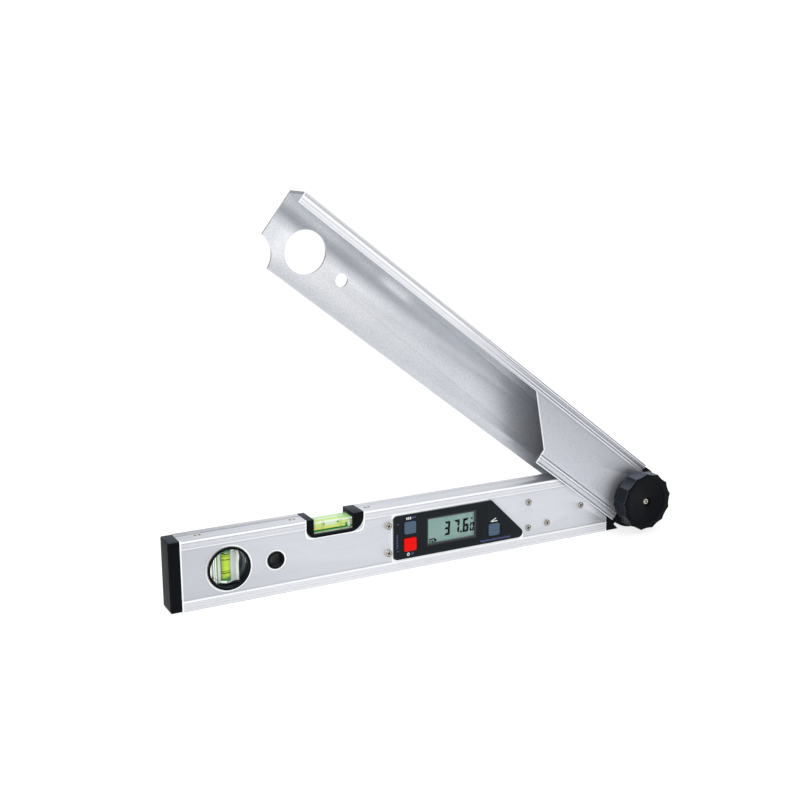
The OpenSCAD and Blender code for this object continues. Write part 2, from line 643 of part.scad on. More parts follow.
// Section of the folding arm in Y and the height n above the hinge axis.
module arm_profile() {
  difference() {
    union() {
      translate([y_arm_front, n_in]) square([y_arm_back - y_arm_front, spine_t]);
      translate([y_arm_front, n_lip]) square([front_t, lip_h]);
      translate([y_arm_in, n_low]) square([back_t, n_out - n_low]);
    }
    translate([y_arm_front - 1, n_out - 6.6]) square([1 + lip_step, 3.4]);
    translate([y_arm_front - 1, n_out - 1.6]) square([1 + groove_d, groove_w]);
  }
}
module front_plate_shape() {
  lip = n_lip + 0.5;
  low_u = pivot_x - bz_tip - 5.7;
  polygon([[-arm_root, n_front_low], [-arm_root, lip], [-(edge_u1 + 3.9), lip],
    [-low_u, bz_z0 + 4.7 - pivot_z], [-low_u, n_front_low]]);
}
module arm_channel() color(alu) on_arm() difference() {
  union() {
    xbar(-arm_len, -arm_root) arm_profile();
    difference() {
      yplate(y_arm_front, y_arm_front + front_t) front_plate_shape();
      for (n = [1.2, 5.3, 7.5])
        box(-edge_u1, 0, y_arm_front - 1, y_arm_front + lip_step, n_front_low + n, n_front_low + n + groove_w);
    }
  }
  ycyl(ring_x - pivot_x, ring_z - pivot_z, ring_r, y_arm_in - 1, y_arm_back + 1);
  ycyl(sleeve_x - pivot_x, sleeve_z - pivot_z, hang_r, y_arm_in - 1, y_arm_back + 1);
  ycyl(-arm_len, n_low, notch_r, y_arm_in - 1, y_arm_back + 1);
  ycyl(0, 0, 14, y_arm_in - 1, y_arm_back + 1);
  ycyl(0, 0, shaft_r + 0.02, y_arm_front - 1, 0);
  for (p = arm_screw_at) {
    ycyl(p[0], p[1], 1.6, y_arm_in - 1, y_arm_back + 1);
    ycone(p[0], p[1], 1.55, 3.1, y_arm_back - 1.4, y_arm_back + 0.1);
  }
  for (s = [-1, 1]) ycyl(-13, s * 15, 1.55, y_arm_front - 1, y_tongue + 1);
}
arm_screw_at = [[-20, 17], [-20, -17], [-58, 17], [-58, -17]];

module arm_hub_front() color(black) on_arm() difference() {
  union() {
    intersection() {
      ycyl(0, 0, cheek_r, y_arm_front, y_cheek_in);
      box(-arm_root + 0.05, 40, y_arm_front - 1, 0, -40, 40);
    }
    intersection() {
      box(-36, 0, y_tongue, y_cheek_in, -19, 19);
      ycyl(0, 0, 38, y_tongue - 1, y_cheek_in + 1);
    }
  }
  ycyl(0, 0, shaft_r + 0.02, y_arm_front - 1, 0);
  for (s = [-1, 1]) ycyl(-13, s * 15, 1.55, y_arm_front - 1, 0);
}
module arm_hub_rear() color(black) on_arm() difference() {
  union() {
    intersection() {
      ycyl(0, 0, cheek_r, y_rear_in, y_arm_back);
      box(-arm_root + 0.05, 40, y_rear_in - 1, y_arm_back + 1, -40, 40);
    }
    box(-tongue_len, 0, y_rear_in, y_arm_in, -23, 23);
  }
  ycyl(0, 0, shaft_r + 0.02, y_rear_in - 1, y_arm_back + 1);
  ycyl(0, 0, 14, y_arm_back - 3.4, y_arm_back + 1);
  for (p = arm_screw_at) ycyl(p[0], p[1], 1.5, y_rear_in + 0.6, y_arm_back);
  for (i = [0 : 2]) rotate([0, i * 120 + 30, 0])
    ycyl(10, 0, 1.3, y_rear_in + 0.6, y_arm_back);
  box(-tongue_len + 4, -30, y_rear_in + 1.2, y_arm_in + 1, -12, 12);
}
module arm_rivets() color(steel) on_arm()
  for (s = [-1, 1]) {
    ycyl(-13, s * 15, 1.5, y_arm_front, y_cheek_in - 0.1);
    ycyl(-13, s * 15, 2.8, y_arm_front - 0.8, y_arm_front);
  }
module arm_screws() color(steel) on_arm()
  for (p = arm_screw_at) difference() {
    union() {
      ycyl(p[0], p[1], 1.45, y_rear_in + 0.8, y_arm_back - 0.2);
      ycone(p[0], p[1], 1.45, 2.9, y_arm_back - 1.4, y_arm_back);
    }
    box(p[0] - 1.8, p[0] + 1.8, y_arm_back - 0.6, y_arm_back + 1, p[1] - 0.4, p[1] + 0.4);
    box(p[0] - 0.4, p[0] + 0.4, y_arm_back - 0.6, y_arm_back + 1, p[1] - 1.8, p[1] + 1.8);
  }

y_stud_end = y_knob_front + 3.2;
module pivot_shaft() color(steel) on_arm() difference() {
  union() {
    ycyl(0, 0, shaft_r, y_arm_front, y_arm_back - 1);
    ycyl(0, 0, 13.8, y_arm_back - 3.4, y_arm_back - 1);
    ycyl(0, 0, stud_r, y_stud_end, 0);
  }
  ycyl(0, 0, 1.55, y_stud_end - 1, y_stud_end + 11);
  for (i = [0 : 2]) rotate([0, i * 120 + 30, 0])
    ycyl(10, 0, 1.4, y_arm_back - 5, y_arm_back + 1);
}
module shaft_screws() color(steel) on_arm()
  for (i = [0 : 2]) rotate([0, i * 120 + 30, 0]) difference() {
    union() {
      ycyl(10, 0, 1.25, y_rear_in + 1, y_arm_back - 0.9);
      ycyl(10, 0, 2.2, y_arm_back - 1, y_arm_back - 0.1);
    }
    box(8.6, 11.4, y_arm_back - 0.5, y_arm_back + 1, -0.35, 0.35);
    box(9.65, 10.35, y_arm_back - 0.5, y_arm_back + 1, -1.4, 1.4);
  }

module knob_washer() color(steel) on_arm() difference() {
  ycyl(0, 0, 13, y_washer, y_arm_front);
  ycyl(0, 0, stud_r + 0.05, y_washer - 1, y_arm_front + 1);
}
module clamp_knob() color(black) on_arm() difference() {
  union() {
    difference() {
      ycyl(0, 0, knob_r, y_knob_front, y_knob_front + grip_len);
      for (i = [0 : knob_ridges - 1]) rotate([0, knob_phase + (i + 0.5) * 360 / knob_ridges, 0])
        ycyl(knob_r - grip_d + grip_r, 0, grip_r, y_knob_front - 1, y_knob_front + grip_len + 1);
    }
    ycyl(0, 0, knob_r - 3, y_knob_front + grip_len - 1, y_knob_back);
  }
  ycyl(0, 0, knob_r - 7, y_knob_front - 1, y_knob_front + 0.4);
  ycyl(0, 0, knob_recess, y_knob_front - 1, y_knob_front + 1.8);
  ycyl(0, 0, knob_head + 0.3, y_knob_front + 1, y_knob_front + 3);
  ycyl(0, 0, stud_r + 0.4, y_knob_front + 2.8, y_knob_front + 4);
  ycyl(0, 0, 7.05, y_knob_front + 3, y_knob_back + 1);
}
module knob_insert() color(brass) on_arm() difference() {
  ycyl(0, 0, 7, y_knob_front + 3, y_knob_back);
  ycyl(0, 0, stud_r + run_gap, y_knob_front, y_knob_back + 1);
}
module knob_screw() color(steel) on_arm()
  pan_screw(0, 0, y_stud_end, 10, 1.5, knob_head, 1.3);

base_beam();
end_cap();
top_screws();
round_ring_front();
round_ring_rear();
round_vial_block();
round_vial_liquid();
vial_plugs();
vial_lines();
hole_sleeve();
level_frame();
level_vial_block();
level_vial_liquid();
display_bezel();
display_window();
lcd_panel();
lcd_connectors();
circuit_board();
board_parts();
key_switches();
hold_button();
power_button();
mitre_button();
electronics_tray();
tray_screws();
board_screws();
battery_cells();
battery_contacts();
battery_door();
base_hub();
hub_screws();
bearing_bush();
encoder_stator();
encoder_cable();
friction_washer();
encoder_rotor();
arm_channel();
arm_hub_front();
arm_hub_rear();
arm_rivets();
arm_screws();
pivot_shaft();
shaft_screws();
knob_washer();
clamp_knob();
knob_insert();
knob_screw();
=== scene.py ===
import json
import math
import bmesh
import bpy
from mathutils import Matrix, Vector


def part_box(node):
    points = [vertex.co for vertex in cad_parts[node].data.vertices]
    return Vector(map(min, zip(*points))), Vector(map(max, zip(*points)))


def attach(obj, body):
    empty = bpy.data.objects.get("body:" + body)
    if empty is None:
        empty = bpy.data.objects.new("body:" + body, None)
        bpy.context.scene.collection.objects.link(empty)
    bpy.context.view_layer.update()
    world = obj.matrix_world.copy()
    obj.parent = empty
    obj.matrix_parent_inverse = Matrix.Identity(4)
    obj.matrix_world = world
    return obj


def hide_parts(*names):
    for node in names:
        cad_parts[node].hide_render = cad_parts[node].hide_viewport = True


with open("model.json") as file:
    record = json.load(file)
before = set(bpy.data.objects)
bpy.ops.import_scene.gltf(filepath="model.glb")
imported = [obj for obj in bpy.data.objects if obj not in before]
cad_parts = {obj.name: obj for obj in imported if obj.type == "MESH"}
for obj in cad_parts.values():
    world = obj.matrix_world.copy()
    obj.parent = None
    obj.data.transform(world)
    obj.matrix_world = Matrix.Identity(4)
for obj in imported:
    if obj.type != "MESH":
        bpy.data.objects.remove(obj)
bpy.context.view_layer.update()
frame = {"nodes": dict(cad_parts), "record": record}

RECORD = frame["record"]
COLLECTION = bpy.context.scene.collection
BODY_OF = {node: body for body, nodes in RECORD["behaviour"]["bodies"].items() for node in nodes}
SLOT_OF = {part["node"]: part["material_slot"] for part in RECORD["subparts"]}
X_AXIS, Y_AXIS, Z_AXIS = Vector((1, 0, 0)), Vector((0, 1, 0)), Vector((0, 0, 1))

# Places and sizes are in millimetres, except for the studio at the end.
MM = 0.001


def corners(node):
    """Lowest and highest corner of a CAD node."""
    low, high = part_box(node)
    return low / MM, high / MM


BEAM_LOW, BEAM_HIGH = corners("base_beam")
BEZEL_LOW, BEZEL_HIGH = corners("display_bezel")
FRAME_LOW, FRAME_HIGH = corners("level_frame")
LEVEL_LOW, LEVEL_HIGH = corners("level_vial_block")
RING_LOW, RING_HIGH = corners("round_ring_front")
SLEEVE_LOW, SLEEVE_HIGH = corners("hole_sleeve")
ARM_LOW, ARM_HIGH = corners("arm_channel")
KNOB_LOW, KNOB_HIGH = corners("clamp_knob")
LCD_LOW = corners("lcd_panel")[0]
HOLD_LOW, HOLD_HIGH = corners("hold_button")
POWER_LOW = corners("power_button")[0]
MITRE_LOW, MITRE_HIGH = corners("mitre_button")

RING_MID, RING_R = (RING_LOW + RING_HIGH) / 2, (RING_HIGH.x - RING_LOW.x) / 2
SLEEVE_MID, SLEEVE_R = (SLEEVE_LOW + SLEEVE_HIGH) / 2, (SLEEVE_HIGH.x - SLEEVE_LOW.x) / 2
KNOB_R = (KNOB_HIGH.x - KNOB_LOW.x) / 2
KNOB_RIM = (KNOB_R - 5, KNOB_R - 4)
LEVEL_MID_X = (LEVEL_LOW.x + LEVEL_HIGH.x) / 2

# The arm has its own directions: out along it from the hinge, and up from the hinge to its outer face.
HINGE = next(joint for joint in RECORD["behaviour"]["joints"] if joint["name"] == "arm_hinge")
PIVOT = Vector(HINGE["pos_m"]) / MM
REST = math.radians(-HINGE["range_deg"][0])
ARM_UP = Vector((math.sin(REST), 0, math.cos(REST)))
ARM_OUT = Vector((-math.cos(REST), 0, math.sin(REST)))


def tone(colour, factor):
    """A colour made lighter or darker."""
    return tuple(min(1.0, v * factor) for v in colour[:3]) + (1.0,)


# Colours that several looks share: painted highlights, shaded metal, scuffs (the white ones also a painted
# highlight along sharp edges), and a painted bluish sheen on black that faces the sky.
PAINTED_LIGHT = (0.93, 0.94, 0.96, 1)
PAINTED_LIGHT_BRIGHT = tone(PAINTED_LIGHT, 1.06)
SHADE_DARK = (0.40, 0.42, 0.46, 1)
# White along the aluminium's sharp edges: scuffs, and also a painted highlight.
WEAR_AND_EDGE_HIGHLIGHT = (0.95, 0.955, 0.97, 1)
BLACK_WEAR = (0.045, 0.05, 0.062, 1)
BLACK_TOP_SHEEN = (0.030, 0.037, 0.050, 1)
COOL_GLOSS = (0.8, 0.9, 1.0, 1)


class Look:
    """A material and helpers that add nodes to it. Values may be sockets or plain numbers."""

    def __init__(self, name):
        self.material = bpy.data.materials.new(name)
        self.material.use_nodes = True
        self.tree = self.material.node_tree
        self.shader = self.tree.nodes["Principled BSDF"].inputs
        self.place = self.node("TexCoord").outputs["Object"]

    def node(self, kind, **settings):
        added = self.tree.nodes.new("ShaderNode" + kind)
        for name, value in settings.items():
            setattr(added, name, value)
        return added

    def feed(self, socket, value):
        if isinstance(value, bpy.types.NodeSocket):
            self.tree.links.new(value, socket)
        else:
            socket.default_value = value

    def calc(self, operation, *values):
        added = self.node("Math", operation=operation)
        for socket, value in zip(added.inputs, values):
            self.feed(socket, value)
        return added.outputs[0]

    def times(self, product, *masks):
        for mask in masks:
            product = self.calc("MULTIPLY", product, mask)
        return product

    def most(self, largest, *masks):
        for mask in masks:
            largest = self.calc("MAXIMUM", largest, mask)
        return largest

    def vector_math(self, operation, a, b):
        added = self.node("VectorMath", operation=operation)
        self.feed(added.inputs[0], a)
        self.feed(added.inputs[1], b)
        return added.outputs

    def noise(self, scale, detail=3.0, vector=None):
        added = self.node("TexNoise")
        added.inputs["Scale"].default_value = scale
        added.inputs["Detail"].default_value = detail
        added.inputs["Roughness"].default_value = 0.55
        self.feed(added.inputs["Vector"], self.place if vector is None else vector)
        return added.outputs["Fac"]

    def ramp(self, value, stops):
        """A colour for each value, from a list of (value, colour)."""
        added = self.node("ValToRGB")
        elements = added.color_ramp.elements
        for element, (position, colour) in zip((elements[0], elements[1]), (stops[0], stops[-1])):
            element.position = position
            element.color = colour
        for position, colour in stops[1:-1]:
            elements.new(position).color = colour
        self.feed(added.inputs["Fac"], value)
        return added.outputs["Color"]

    def remap(self, value, at_start, at_end, start=0.3, end=0.7):
        """A number that goes from at_start to at_end while value goes from start to end."""
        added = self.node("MapRange")
        limits = (("From Min", start), ("From Max", end), ("To Min", at_start), ("To Max", at_end))
        for name, limit in limits:
            added.inputs[name].default_value = limit
        self.feed(added.inputs["Value"], value)
        return added.outputs["Result"]

    def mix(self, factor, a, b, blend="MIX"):
        added = self.node("Mix", data_type="RGBA", blend_type=blend)
        for socket, value in ((added.inputs["Factor"], factor), (added.inputs[6], a), (added.inputs[7], b)):
            self.feed(socket, value)
        return added.outputs[2]

    def along(self, axis, origin=Vector((0, 0, 0))):
        """How far a point lies along an axis from an origin."""
        reach = self.vector_math("DOT_PRODUCT", self.place, axis / MM)["Value"]
        return self.calc("SUBTRACT", reach, axis.dot(origin))

    def axes(self):
        return [self.along(axis) for axis in (X_AXIS, Y_AXIS, Z_AXIS)]

    def band(self, value, centre, half, soft):
        """One inside centre plus or minus half, falling to nothing over soft."""
        away = self.calc("ABSOLUTE", self.calc("SUBTRACT", value, centre))
        return self.remap(away, 1.0, 0.0, half, half + soft)

    def normal(self):
        return self.node("NewGeometry").outputs["Normal"]

    def facing(self, axis, low=0.6, high=0.9):
        """One on faces that look along an axis, nothing on faces that look away from it."""
        return self.remap(self.vector_math("DOT_PRODUCT", self.normal(), axis)["Value"], 0.0, 1.0, low, high)

    def edge_mask(self, radius):
        """Bright along sharp edges, from how far the rounded normal leans from the true one."""
        rounded = self.node("Bevel")
        rounded.inputs["Radius"].default_value = radius * MM
        lean = self.vector_math("DOT_PRODUCT", rounded.outputs["Normal"], self.normal())["Value"]
        return self.remap(lean, 1.0, 0.0, 0.8, 0.99)

    def oval(self, a, b, middle, half_a, half_b):
        """One on the rim of an oval, less inside it and more outside."""
        sides = ((a, middle[0], half_a), (b, middle[1], half_b))
        p, q = (self.calc("DIVIDE", self.calc("SUBTRACT", v, mid), half) for v, mid, half in sides)
        return self.calc("SQRT", self.calc("ADD", self.times(p, p), self.times(q, q)))

    def reach_from(self, middle):
        """Distance from an axis that runs along Y."""
        flat = self.vector_math("MULTIPLY", self.place, (1 / MM, 0, 1 / MM))["Vector"]
        return self.vector_math("DISTANCE", flat, (middle.x, 0, middle.z))["Value"]

    def ring_line(self, middle, radius, width):
        return self.band(self.reach_from(middle), radius + width / 2, width / 2, 0.1)

    def outline(self, sides, soft, width):
        """A line just outside a shape given by its sides' signed distances; soft rounds the corners."""
        away = sides[0]
        for side in sides[1:]:
            away = self.calc("SMOOTH_MAX", away, side, soft)
        return self.band(away, width / 2, width / 2, 0.1)


# Noise scales, like the grain of each surface, are per metre.
CLOUD_SCALE, SCUFF_SCALE, SPECK_SCALE, GLASS_SCALE = 28, 260, 1300, 120
BUMP_DEPTH = 0.05


def surface(name, colour, rough, metal=0.0, grain=900.0, stretch=(1, 1, 1), turn=0.0, vary=0.06,
            rough_vary=0.08, bump=0.15, wear=0.0, wear_colour=WEAR_AND_EDGE_HIGHLIGHT, wear_gap=0.25, coat=0.0,
            specular=0.5, tint=(1, 1, 1, 1), ior=1.5, marks=None, metal_map=None, trim=None):
    """A material with its own grain, cloudiness and edge wear of a given width; with the default white, the
    worn edges are also a painted highlight.

    marks paints below the wear and trim above it, and metal_map says where the material is metal.
    """
    look = Look(name)
    turned = look.node("Mapping")
    turned.inputs["Rotation"].default_value = (0, turn, 0)
    look.feed(turned.inputs["Vector"], look.place)
    stretched = look.vector_math("MULTIPLY", turned.outputs["Vector"], stretch)["Vector"]
    fine = look.noise(grain, 4.0, stretched)
    cloud = look.noise(CLOUD_SCALE)
    paint = look.ramp(fine, [(0.3, tone(colour, 1 - vary)), (0.7, tone(colour, 1 + vary))])
    paint = look.mix(look.remap(cloud, 0.0, 0.35), paint, tone(colour, 1 - vary * 1.4))
    if marks:
        paint = marks(look, paint)
    # Colour along sharp edges in scuffed patches: wear, and with the default white also a painted highlight.
    if wear:
        patch = look.remap(look.noise(SCUFF_SCALE, 5.0), wear_gap, 1.0, 0.35, 0.6)
        paint = look.mix(look.times(look.edge_mask(wear), patch), paint, wear_colour)
    if trim:
        paint = trim(look, paint)
    look.feed(look.shader["Base Color"], paint)
    look.feed(look.shader["Roughness"], look.calc("ADD", look.remap(fine, -rough_vary, rough_vary),
                                                  look.remap(cloud, rough, rough + rough_vary)))
    look.feed(look.shader["Metallic"], metal_map(look, metal) if metal_map else metal)
    look.shader["Specular IOR Level"].default_value = specular
    look.shader["Specular Tint"].default_value = tint
    look.shader["IOR"].default_value = ior
    look.shader["Coat Weight"].default_value = coat
    look.shader["Coat Roughness"].default_value = 0.15
    relief = look.node("Bump")
    relief.inputs["Strength"].default_value = bump
    relief.inputs["Distance"].default_value = BUMP_DEPTH * MM
    look.feed(relief.inputs["Height"], fine)
    look.feed(look.shader["Normal"], relief.outputs["Normal"])
    return look.material


def clear(name, colour, ior, rough=0.02, weight=1.0, edge=0.0, painted_glow=0.0, marks=None):
    """Clear plastic, glass or liquid; sharp edges get a painted pale highlight and let less light through
    over the width edge, and a glow gives it a faint painted glow of its own colour.
    """
    look = Look(name)
    cloud = look.noise(GLASS_SCALE, 2.0)
    paint = look.ramp(cloud, [(0.3, tone(colour, 0.98)), (0.7, tone(colour, 1.02))])
    through = weight
    if edge:
        edge_highlight = look.edge_mask(edge)
        paint = look.mix(edge_highlight, paint, (0.97, 1.0, 0.97, 1))
        through = look.remap(edge_highlight, weight, weight * 0.25, 0.0, 1.0)
    if marks:
        paint, through = marks(look, (paint, through))
    look.feed(look.shader["Transmission Weight"], through)
    look.feed(look.shader["Base Color"], paint)
    # A faint painted glow in the material's own colour.
    if painted_glow:
        look.feed(look.shader["Emission Color"], paint)
        look.shader["Emission Strength"].default_value = painted_glow
    look.feed(look.shader["Roughness"], look.remap(cloud, rough, rough + 0.03))
    look.shader["IOR"].default_value = ior
    return look.material


# Points closer than this are one; faces that meet at less than an angle in degrees are joined, and edges are
# rounded or kept sharp past the other two.
MERGE_GAP, FLAT_ANGLE, ROUND_ANGLE, SHARP_ANGLE = 0.001, 0.4, 34, 32


def islands(node):
    """Low and high corners of each loose part of a CAD node."""
    bm = bmesh.new()
    bm.from_mesh(frame["nodes"][node].data)
    bmesh.ops.remove_doubles(bm, verts=bm.verts, dist=MERGE_GAP * MM)
    seen, found = set(), []
    for start in bm.verts:
        if start in seen:
            continue
        seen.add(start)
        stack, places = [start], []
        while stack:
            vert = stack.pop()
            places.append(vert.co / MM)
            for edge in vert.link_edges:
                other = edge.other_vert(vert)
                if other not in seen:
                    seen.add(other)
                    stack.append(other)
        found.append([Vector([pick(co[i] for co in places) for i in range(3)]) for pick in (min, max)])
    bm.free()
    return found


# Beam: height above the underside, half width and strength of the painted shade lines and the painted
# highlight lines and bands along it.
SHADE_LINES = [(2.6, 0.25, 0.26), (5.4, 0.25, 0.22), (9.0, 0.5, 0.3), (BEAM_HIGH.z - 8.2, 0.4, 0.26),
              (BEAM_HIGH.z - 6.1, 0.3, 0.24), (BEAM_HIGH.z - 2.6, 0.4, 0.28)]
HIGHLIGHT_LINES = [(7.6, 0.5, 0.95), (BEAM_HIGH.z - 6.9, 0.35, 0.6), (BEAM_HIGH.z - 1.2, 0.55, 1.0),
                (4.0, 3.2, 0.4), (BEAM_HIGH.z - 4.4, 1.4, 0.2)]
# Stretches over which the beam's front and top begin.
FRONT_Y, TOP_Z = (BEAM_LOW.y + 0.8, BEAM_LOW.y + 1.4), (BEAM_HIGH.z - 2, BEAM_HIGH.z - 1)
# Stretches along the beam over which its shaded end, the strips on its top and the top's far shade change.
END_X, STRIPS_X = (BEAM_LOW.x, BEAM_LOW.x + 105), (BEAM_LOW.x + 30, FRAME_LOW.x + 60)
BACK_X, SHADE_X = (BEAM_LOW.x, BEAM_LOW.x + 90), (-60, 0)
# The strips on its top: middles of the groove and the dip, and edges of the front and the back strip.
GROOVE_Y, DIP_Y = 3.3, -3.2
RIM_Y, BACK_Y = (BEAM_LOW.y - 0.2, BEAM_LOW.y + 2.2), (BEAM_HIGH.y - 5.5, BEAM_HIGH.y - 3.0)
# Painted highlights along the beam's two cut ends.
LEFT_CUT_X, RIGHT_CUT_X = (BEAM_LOW.x + 1.0, BEAM_LOW.x + 1.4), (BEAM_HIGH.x - 1.2, BEAM_HIGH.x - 0.8)
# Surround and vial frame, as far as the painted highlight lines round them need it.
BEZEL_CORNER, FRAME_CORNER = 3.2, 9
# The sum of x and z is the same all along the surround's slanting corner.
BEZEL_SLOPE_SUM = BEZEL_HIGH.x + BEZEL_LOW.z + 4.2 * (2 ** 0.5 - 1) * 2 ** 0.5
FRAME_LUG_LEFT, FRAME_LUG_RIGHT = 14, 12.6
# Widths of the painted highlight lines round the surround, the vial seat, the ring and the hole.
BEZEL_LINE, SEAT_LINE, RING_LINE, HOLE_LINE = 1.5, 0.9, 1.4, 1.2


def beam_top_marks(look, paint, x, y, z, end):
    """Long reflections on the beam's top, strongest towards the end cap."""
    top = look.times(look.facing(Z_AXIS), look.remap(z, 0.0, 1.0, *TOP_Z))
    left = look.remap(x, 1.0, 0.0, *STRIPS_X)
    groove = look.times(top, look.band(y, GROOVE_Y, 1.1, 2.0), look.remap(left, 0.12, 0.95, 0.0, 1.0))
    dip = look.times(top, look.band(y, DIP_Y, 0.8, 3.0), left, 0.45)
    rim = look.times(top, look.remap(y, 1.0, 0.0, *RIM_Y), left, 0.95)
    back = look.times(top, look.remap(y, 0.0, 1.0, *BACK_Y), look.remap(x, 1.0, 0.1, *BACK_X), 0.85)
    far = look.times(top, look.most(end, look.remap(x, 0.0, 0.5, *SHADE_X)), 0.4)
    for strip, level in ((groove, 0.5), (dip, 1.0), (rim, 0.8), (back, 0.5), (far, 1.0)):
        paint = look.mix(strip, paint, tone(SHADE_DARK, level))
    return paint


def opening_highlights(look, x, z):
    """Painted highlight lines round the surround, the vials, the hole and the beam's ends."""
    slope = look.times(look.calc("SUBTRACT", look.calc("ADD", x, z), BEZEL_SLOPE_SUM), 0.7071)
    bezel_sides = [look.calc("SUBTRACT", BEZEL_LOW.x, x), look.calc("SUBTRACT", BEZEL_LOW.z, z),
                   look.calc("SUBTRACT", z, BEZEL_HIGH.z), look.calc("SUBTRACT", x, BEZEL_HIGH.x), slope]
    seat_sides = [look.calc("SUBTRACT", FRAME_LOW.x + FRAME_LUG_LEFT, x),
                  look.calc("SUBTRACT", FRAME_LOW.z, z),
                  look.calc("SUBTRACT", x, FRAME_HIGH.x - FRAME_LUG_RIGHT)]
    return look.most(look.outline(bezel_sides, BEZEL_CORNER, BEZEL_LINE),
                     look.outline(seat_sides, FRAME_CORNER, SEAT_LINE),
                     look.ring_line(RING_MID, RING_R, RING_LINE),
                     look.ring_line(SLEEVE_MID, SLEEVE_R, HOLE_LINE),
                     look.remap(x, 1.0, 0.0, *LEFT_CUT_X),
                     look.remap(x, 0.0, 1.0, *RIGHT_CUT_X))


def beam_marks(look, paint):
    x, y, z = look.axes()
    front = look.remap(y, 1.0, 0.0, *FRONT_Y)
    end = look.remap(x, 1.0, 0.0, *END_X)
    # Painted shade on the front towards the end cap.
    paint = look.mix(look.times(end, front, 0.5), paint, SHADE_DARK)
    # Painted shade and painted highlights along the front's ribbed bands and steps.
    for lines, soft, colour in ((SHADE_LINES, 0.25, SHADE_DARK), (HIGHLIGHT_LINES, 0.3, PAINTED_LIGHT)):
        for height, half, strength in lines:
            paint = look.mix(look.times(front, look.band(z, height, half, soft), strength), paint, colour)
    paint = beam_top_marks(look, paint, x, y, z, end)
    # Painted shade on faces that look back.
    paint = look.mix(look.times(look.facing(Y_AXIS), 0.42), paint, SHADE_DARK)
    # Painted highlights round the openings and at the cut ends.
    return look.mix(look.times(opening_highlights(look, x, z), front), paint, PAINTED_LIGHT_BRIGHT)


# Arm: bands of painted light and shade across its lip and its low rib, by height above the hinge axis and
# half width. The lip's have a tone near the hinge and one near the tip.
LIP_LIGHT_AND_SHADE = [(20.4, 0.7, 0.38, 0.74), (21.9, 0.45, 0.74, 0.74), (23.2, 0.55, 0.10, 0.86),
             (24.2, 0.4, 0.80, 0.66), (25.8, 0.9, 0.34, 0.90), (27.3, 0.5, 0.38, 0.46),
             (28.4, 0.4, 0.92, 0.52), (29.4, 0.6, 0.16, 0.62)]
RIB_LIGHT_AND_SHADE = [(-28.2, 0.4, 0.84), (-27.0, 0.5, 0.14), (-24.9, 0.9, 0.62), (-22.9, 0.4, 0.36),
             (-21.8, 0.4, 0.86), (-20.6, 0.55, 0.12), (-19.3, 0.4, 0.62)]
# Depths over which the front plate ends, what is behind it begins, and the inside of the back plate begins.
PLATE_Y = (ARM_LOW.y + 1.2, ARM_LOW.y + 1.8)
BEHIND_PLATE_Y = (ARM_LOW.y + 1.8, ARM_LOW.y + 2.4)
INSIDE_Y = (ARM_HIGH.y - 6.1, ARM_HIGH.y - 5.1)
# Stretches along the arm, by distance from the hinge: where the inner face lightens, where that light fades,
# where the shade under the spine deepens and where the lip's tones change.
TIP_REACH, END_REACH, SHADE_REACH, LIP_REACH = (235, 365), (402, 412), (150, 240), (150, 260)
# Stretches across it, by height above the hinge: the light part's upper and lower edge, the free edge, and
# the shade's lower and upper edge.
LIGHT_TOP, LIGHT_FOOT, FREE_EDGE, SHADE_FOOT, SHADE_TOP = (1, 11), (-27, -15), (-27, -17), (2, 12), (13, 19)
# A line of painted shade under the spine, by height, and a soft painted reflection of the lip, by distance
# and height.
DEEP_HEIGHT, GLINT_REACH, GLINT_HEIGHT = 15, 299, 20.2
# The front plate's painted shade reaches this far above and below the hinge, and the knob's painted shadow
# this far past it.
PLATE_HEIGHT, KNOB_SHADOW = 20, 13


def grey(tone_level):
    return (0.925 * tone_level, 0.955 * tone_level, 1.05 * tone_level, 1)


def pale(tone_level):
    return (0.965 * tone_level, 0.975 * tone_level, 1.02 * tone_level, 1)


def arm_inside_marks(look, paint, inside, reach, height):
    """Painted light and shade on the inner face: it darkens under the spine and along its free edge, lightens
    towards the tip, and has a painted reflection of the lip.
    """
    tip = look.remap(reach, 0.0, 1.0, *TIP_REACH)
    light = look.times(look.remap(height, 0.6, 0.0, *LIGHT_TOP), look.remap(height, 0.1, 1.0, *LIGHT_FOOT),
                       look.remap(reach, 1.0, 0.2, *END_REACH))
    paint = look.mix(look.times(inside, tip, light), paint, PAINTED_LIGHT)
    edge = look.times(inside, look.remap(height, 0.3, 0.0, *FREE_EDGE))
    paint = look.mix(edge, paint, (0.40, 0.42, 0.45, 1))
    shade = look.times(inside, look.remap(height, 0.0, 1.0, *SHADE_FOOT),
                       look.remap(height, 1.0, 0.3, *SHADE_TOP), look.remap(reach, 0.2, 1.0, *SHADE_REACH),
                       look.remap(tip, 0.62, 0.8, 0.0, 1.0))
    paint = look.mix(shade, paint, (0.36, 0.38, 0.41, 1))
    deep = look.times(inside, tip, look.band(height, DEEP_HEIGHT, 1.5, 5), 0.45)
    paint = look.mix(deep, paint, (0.22, 0.235, 0.26, 1))
    glint = look.times(inside, look.band(reach, GLINT_REACH, 9, 12),
                       look.band(height, GLINT_HEIGHT, 1.6, 3.4), 0.62)
    return look.mix(glint, paint, PAINTED_LIGHT)


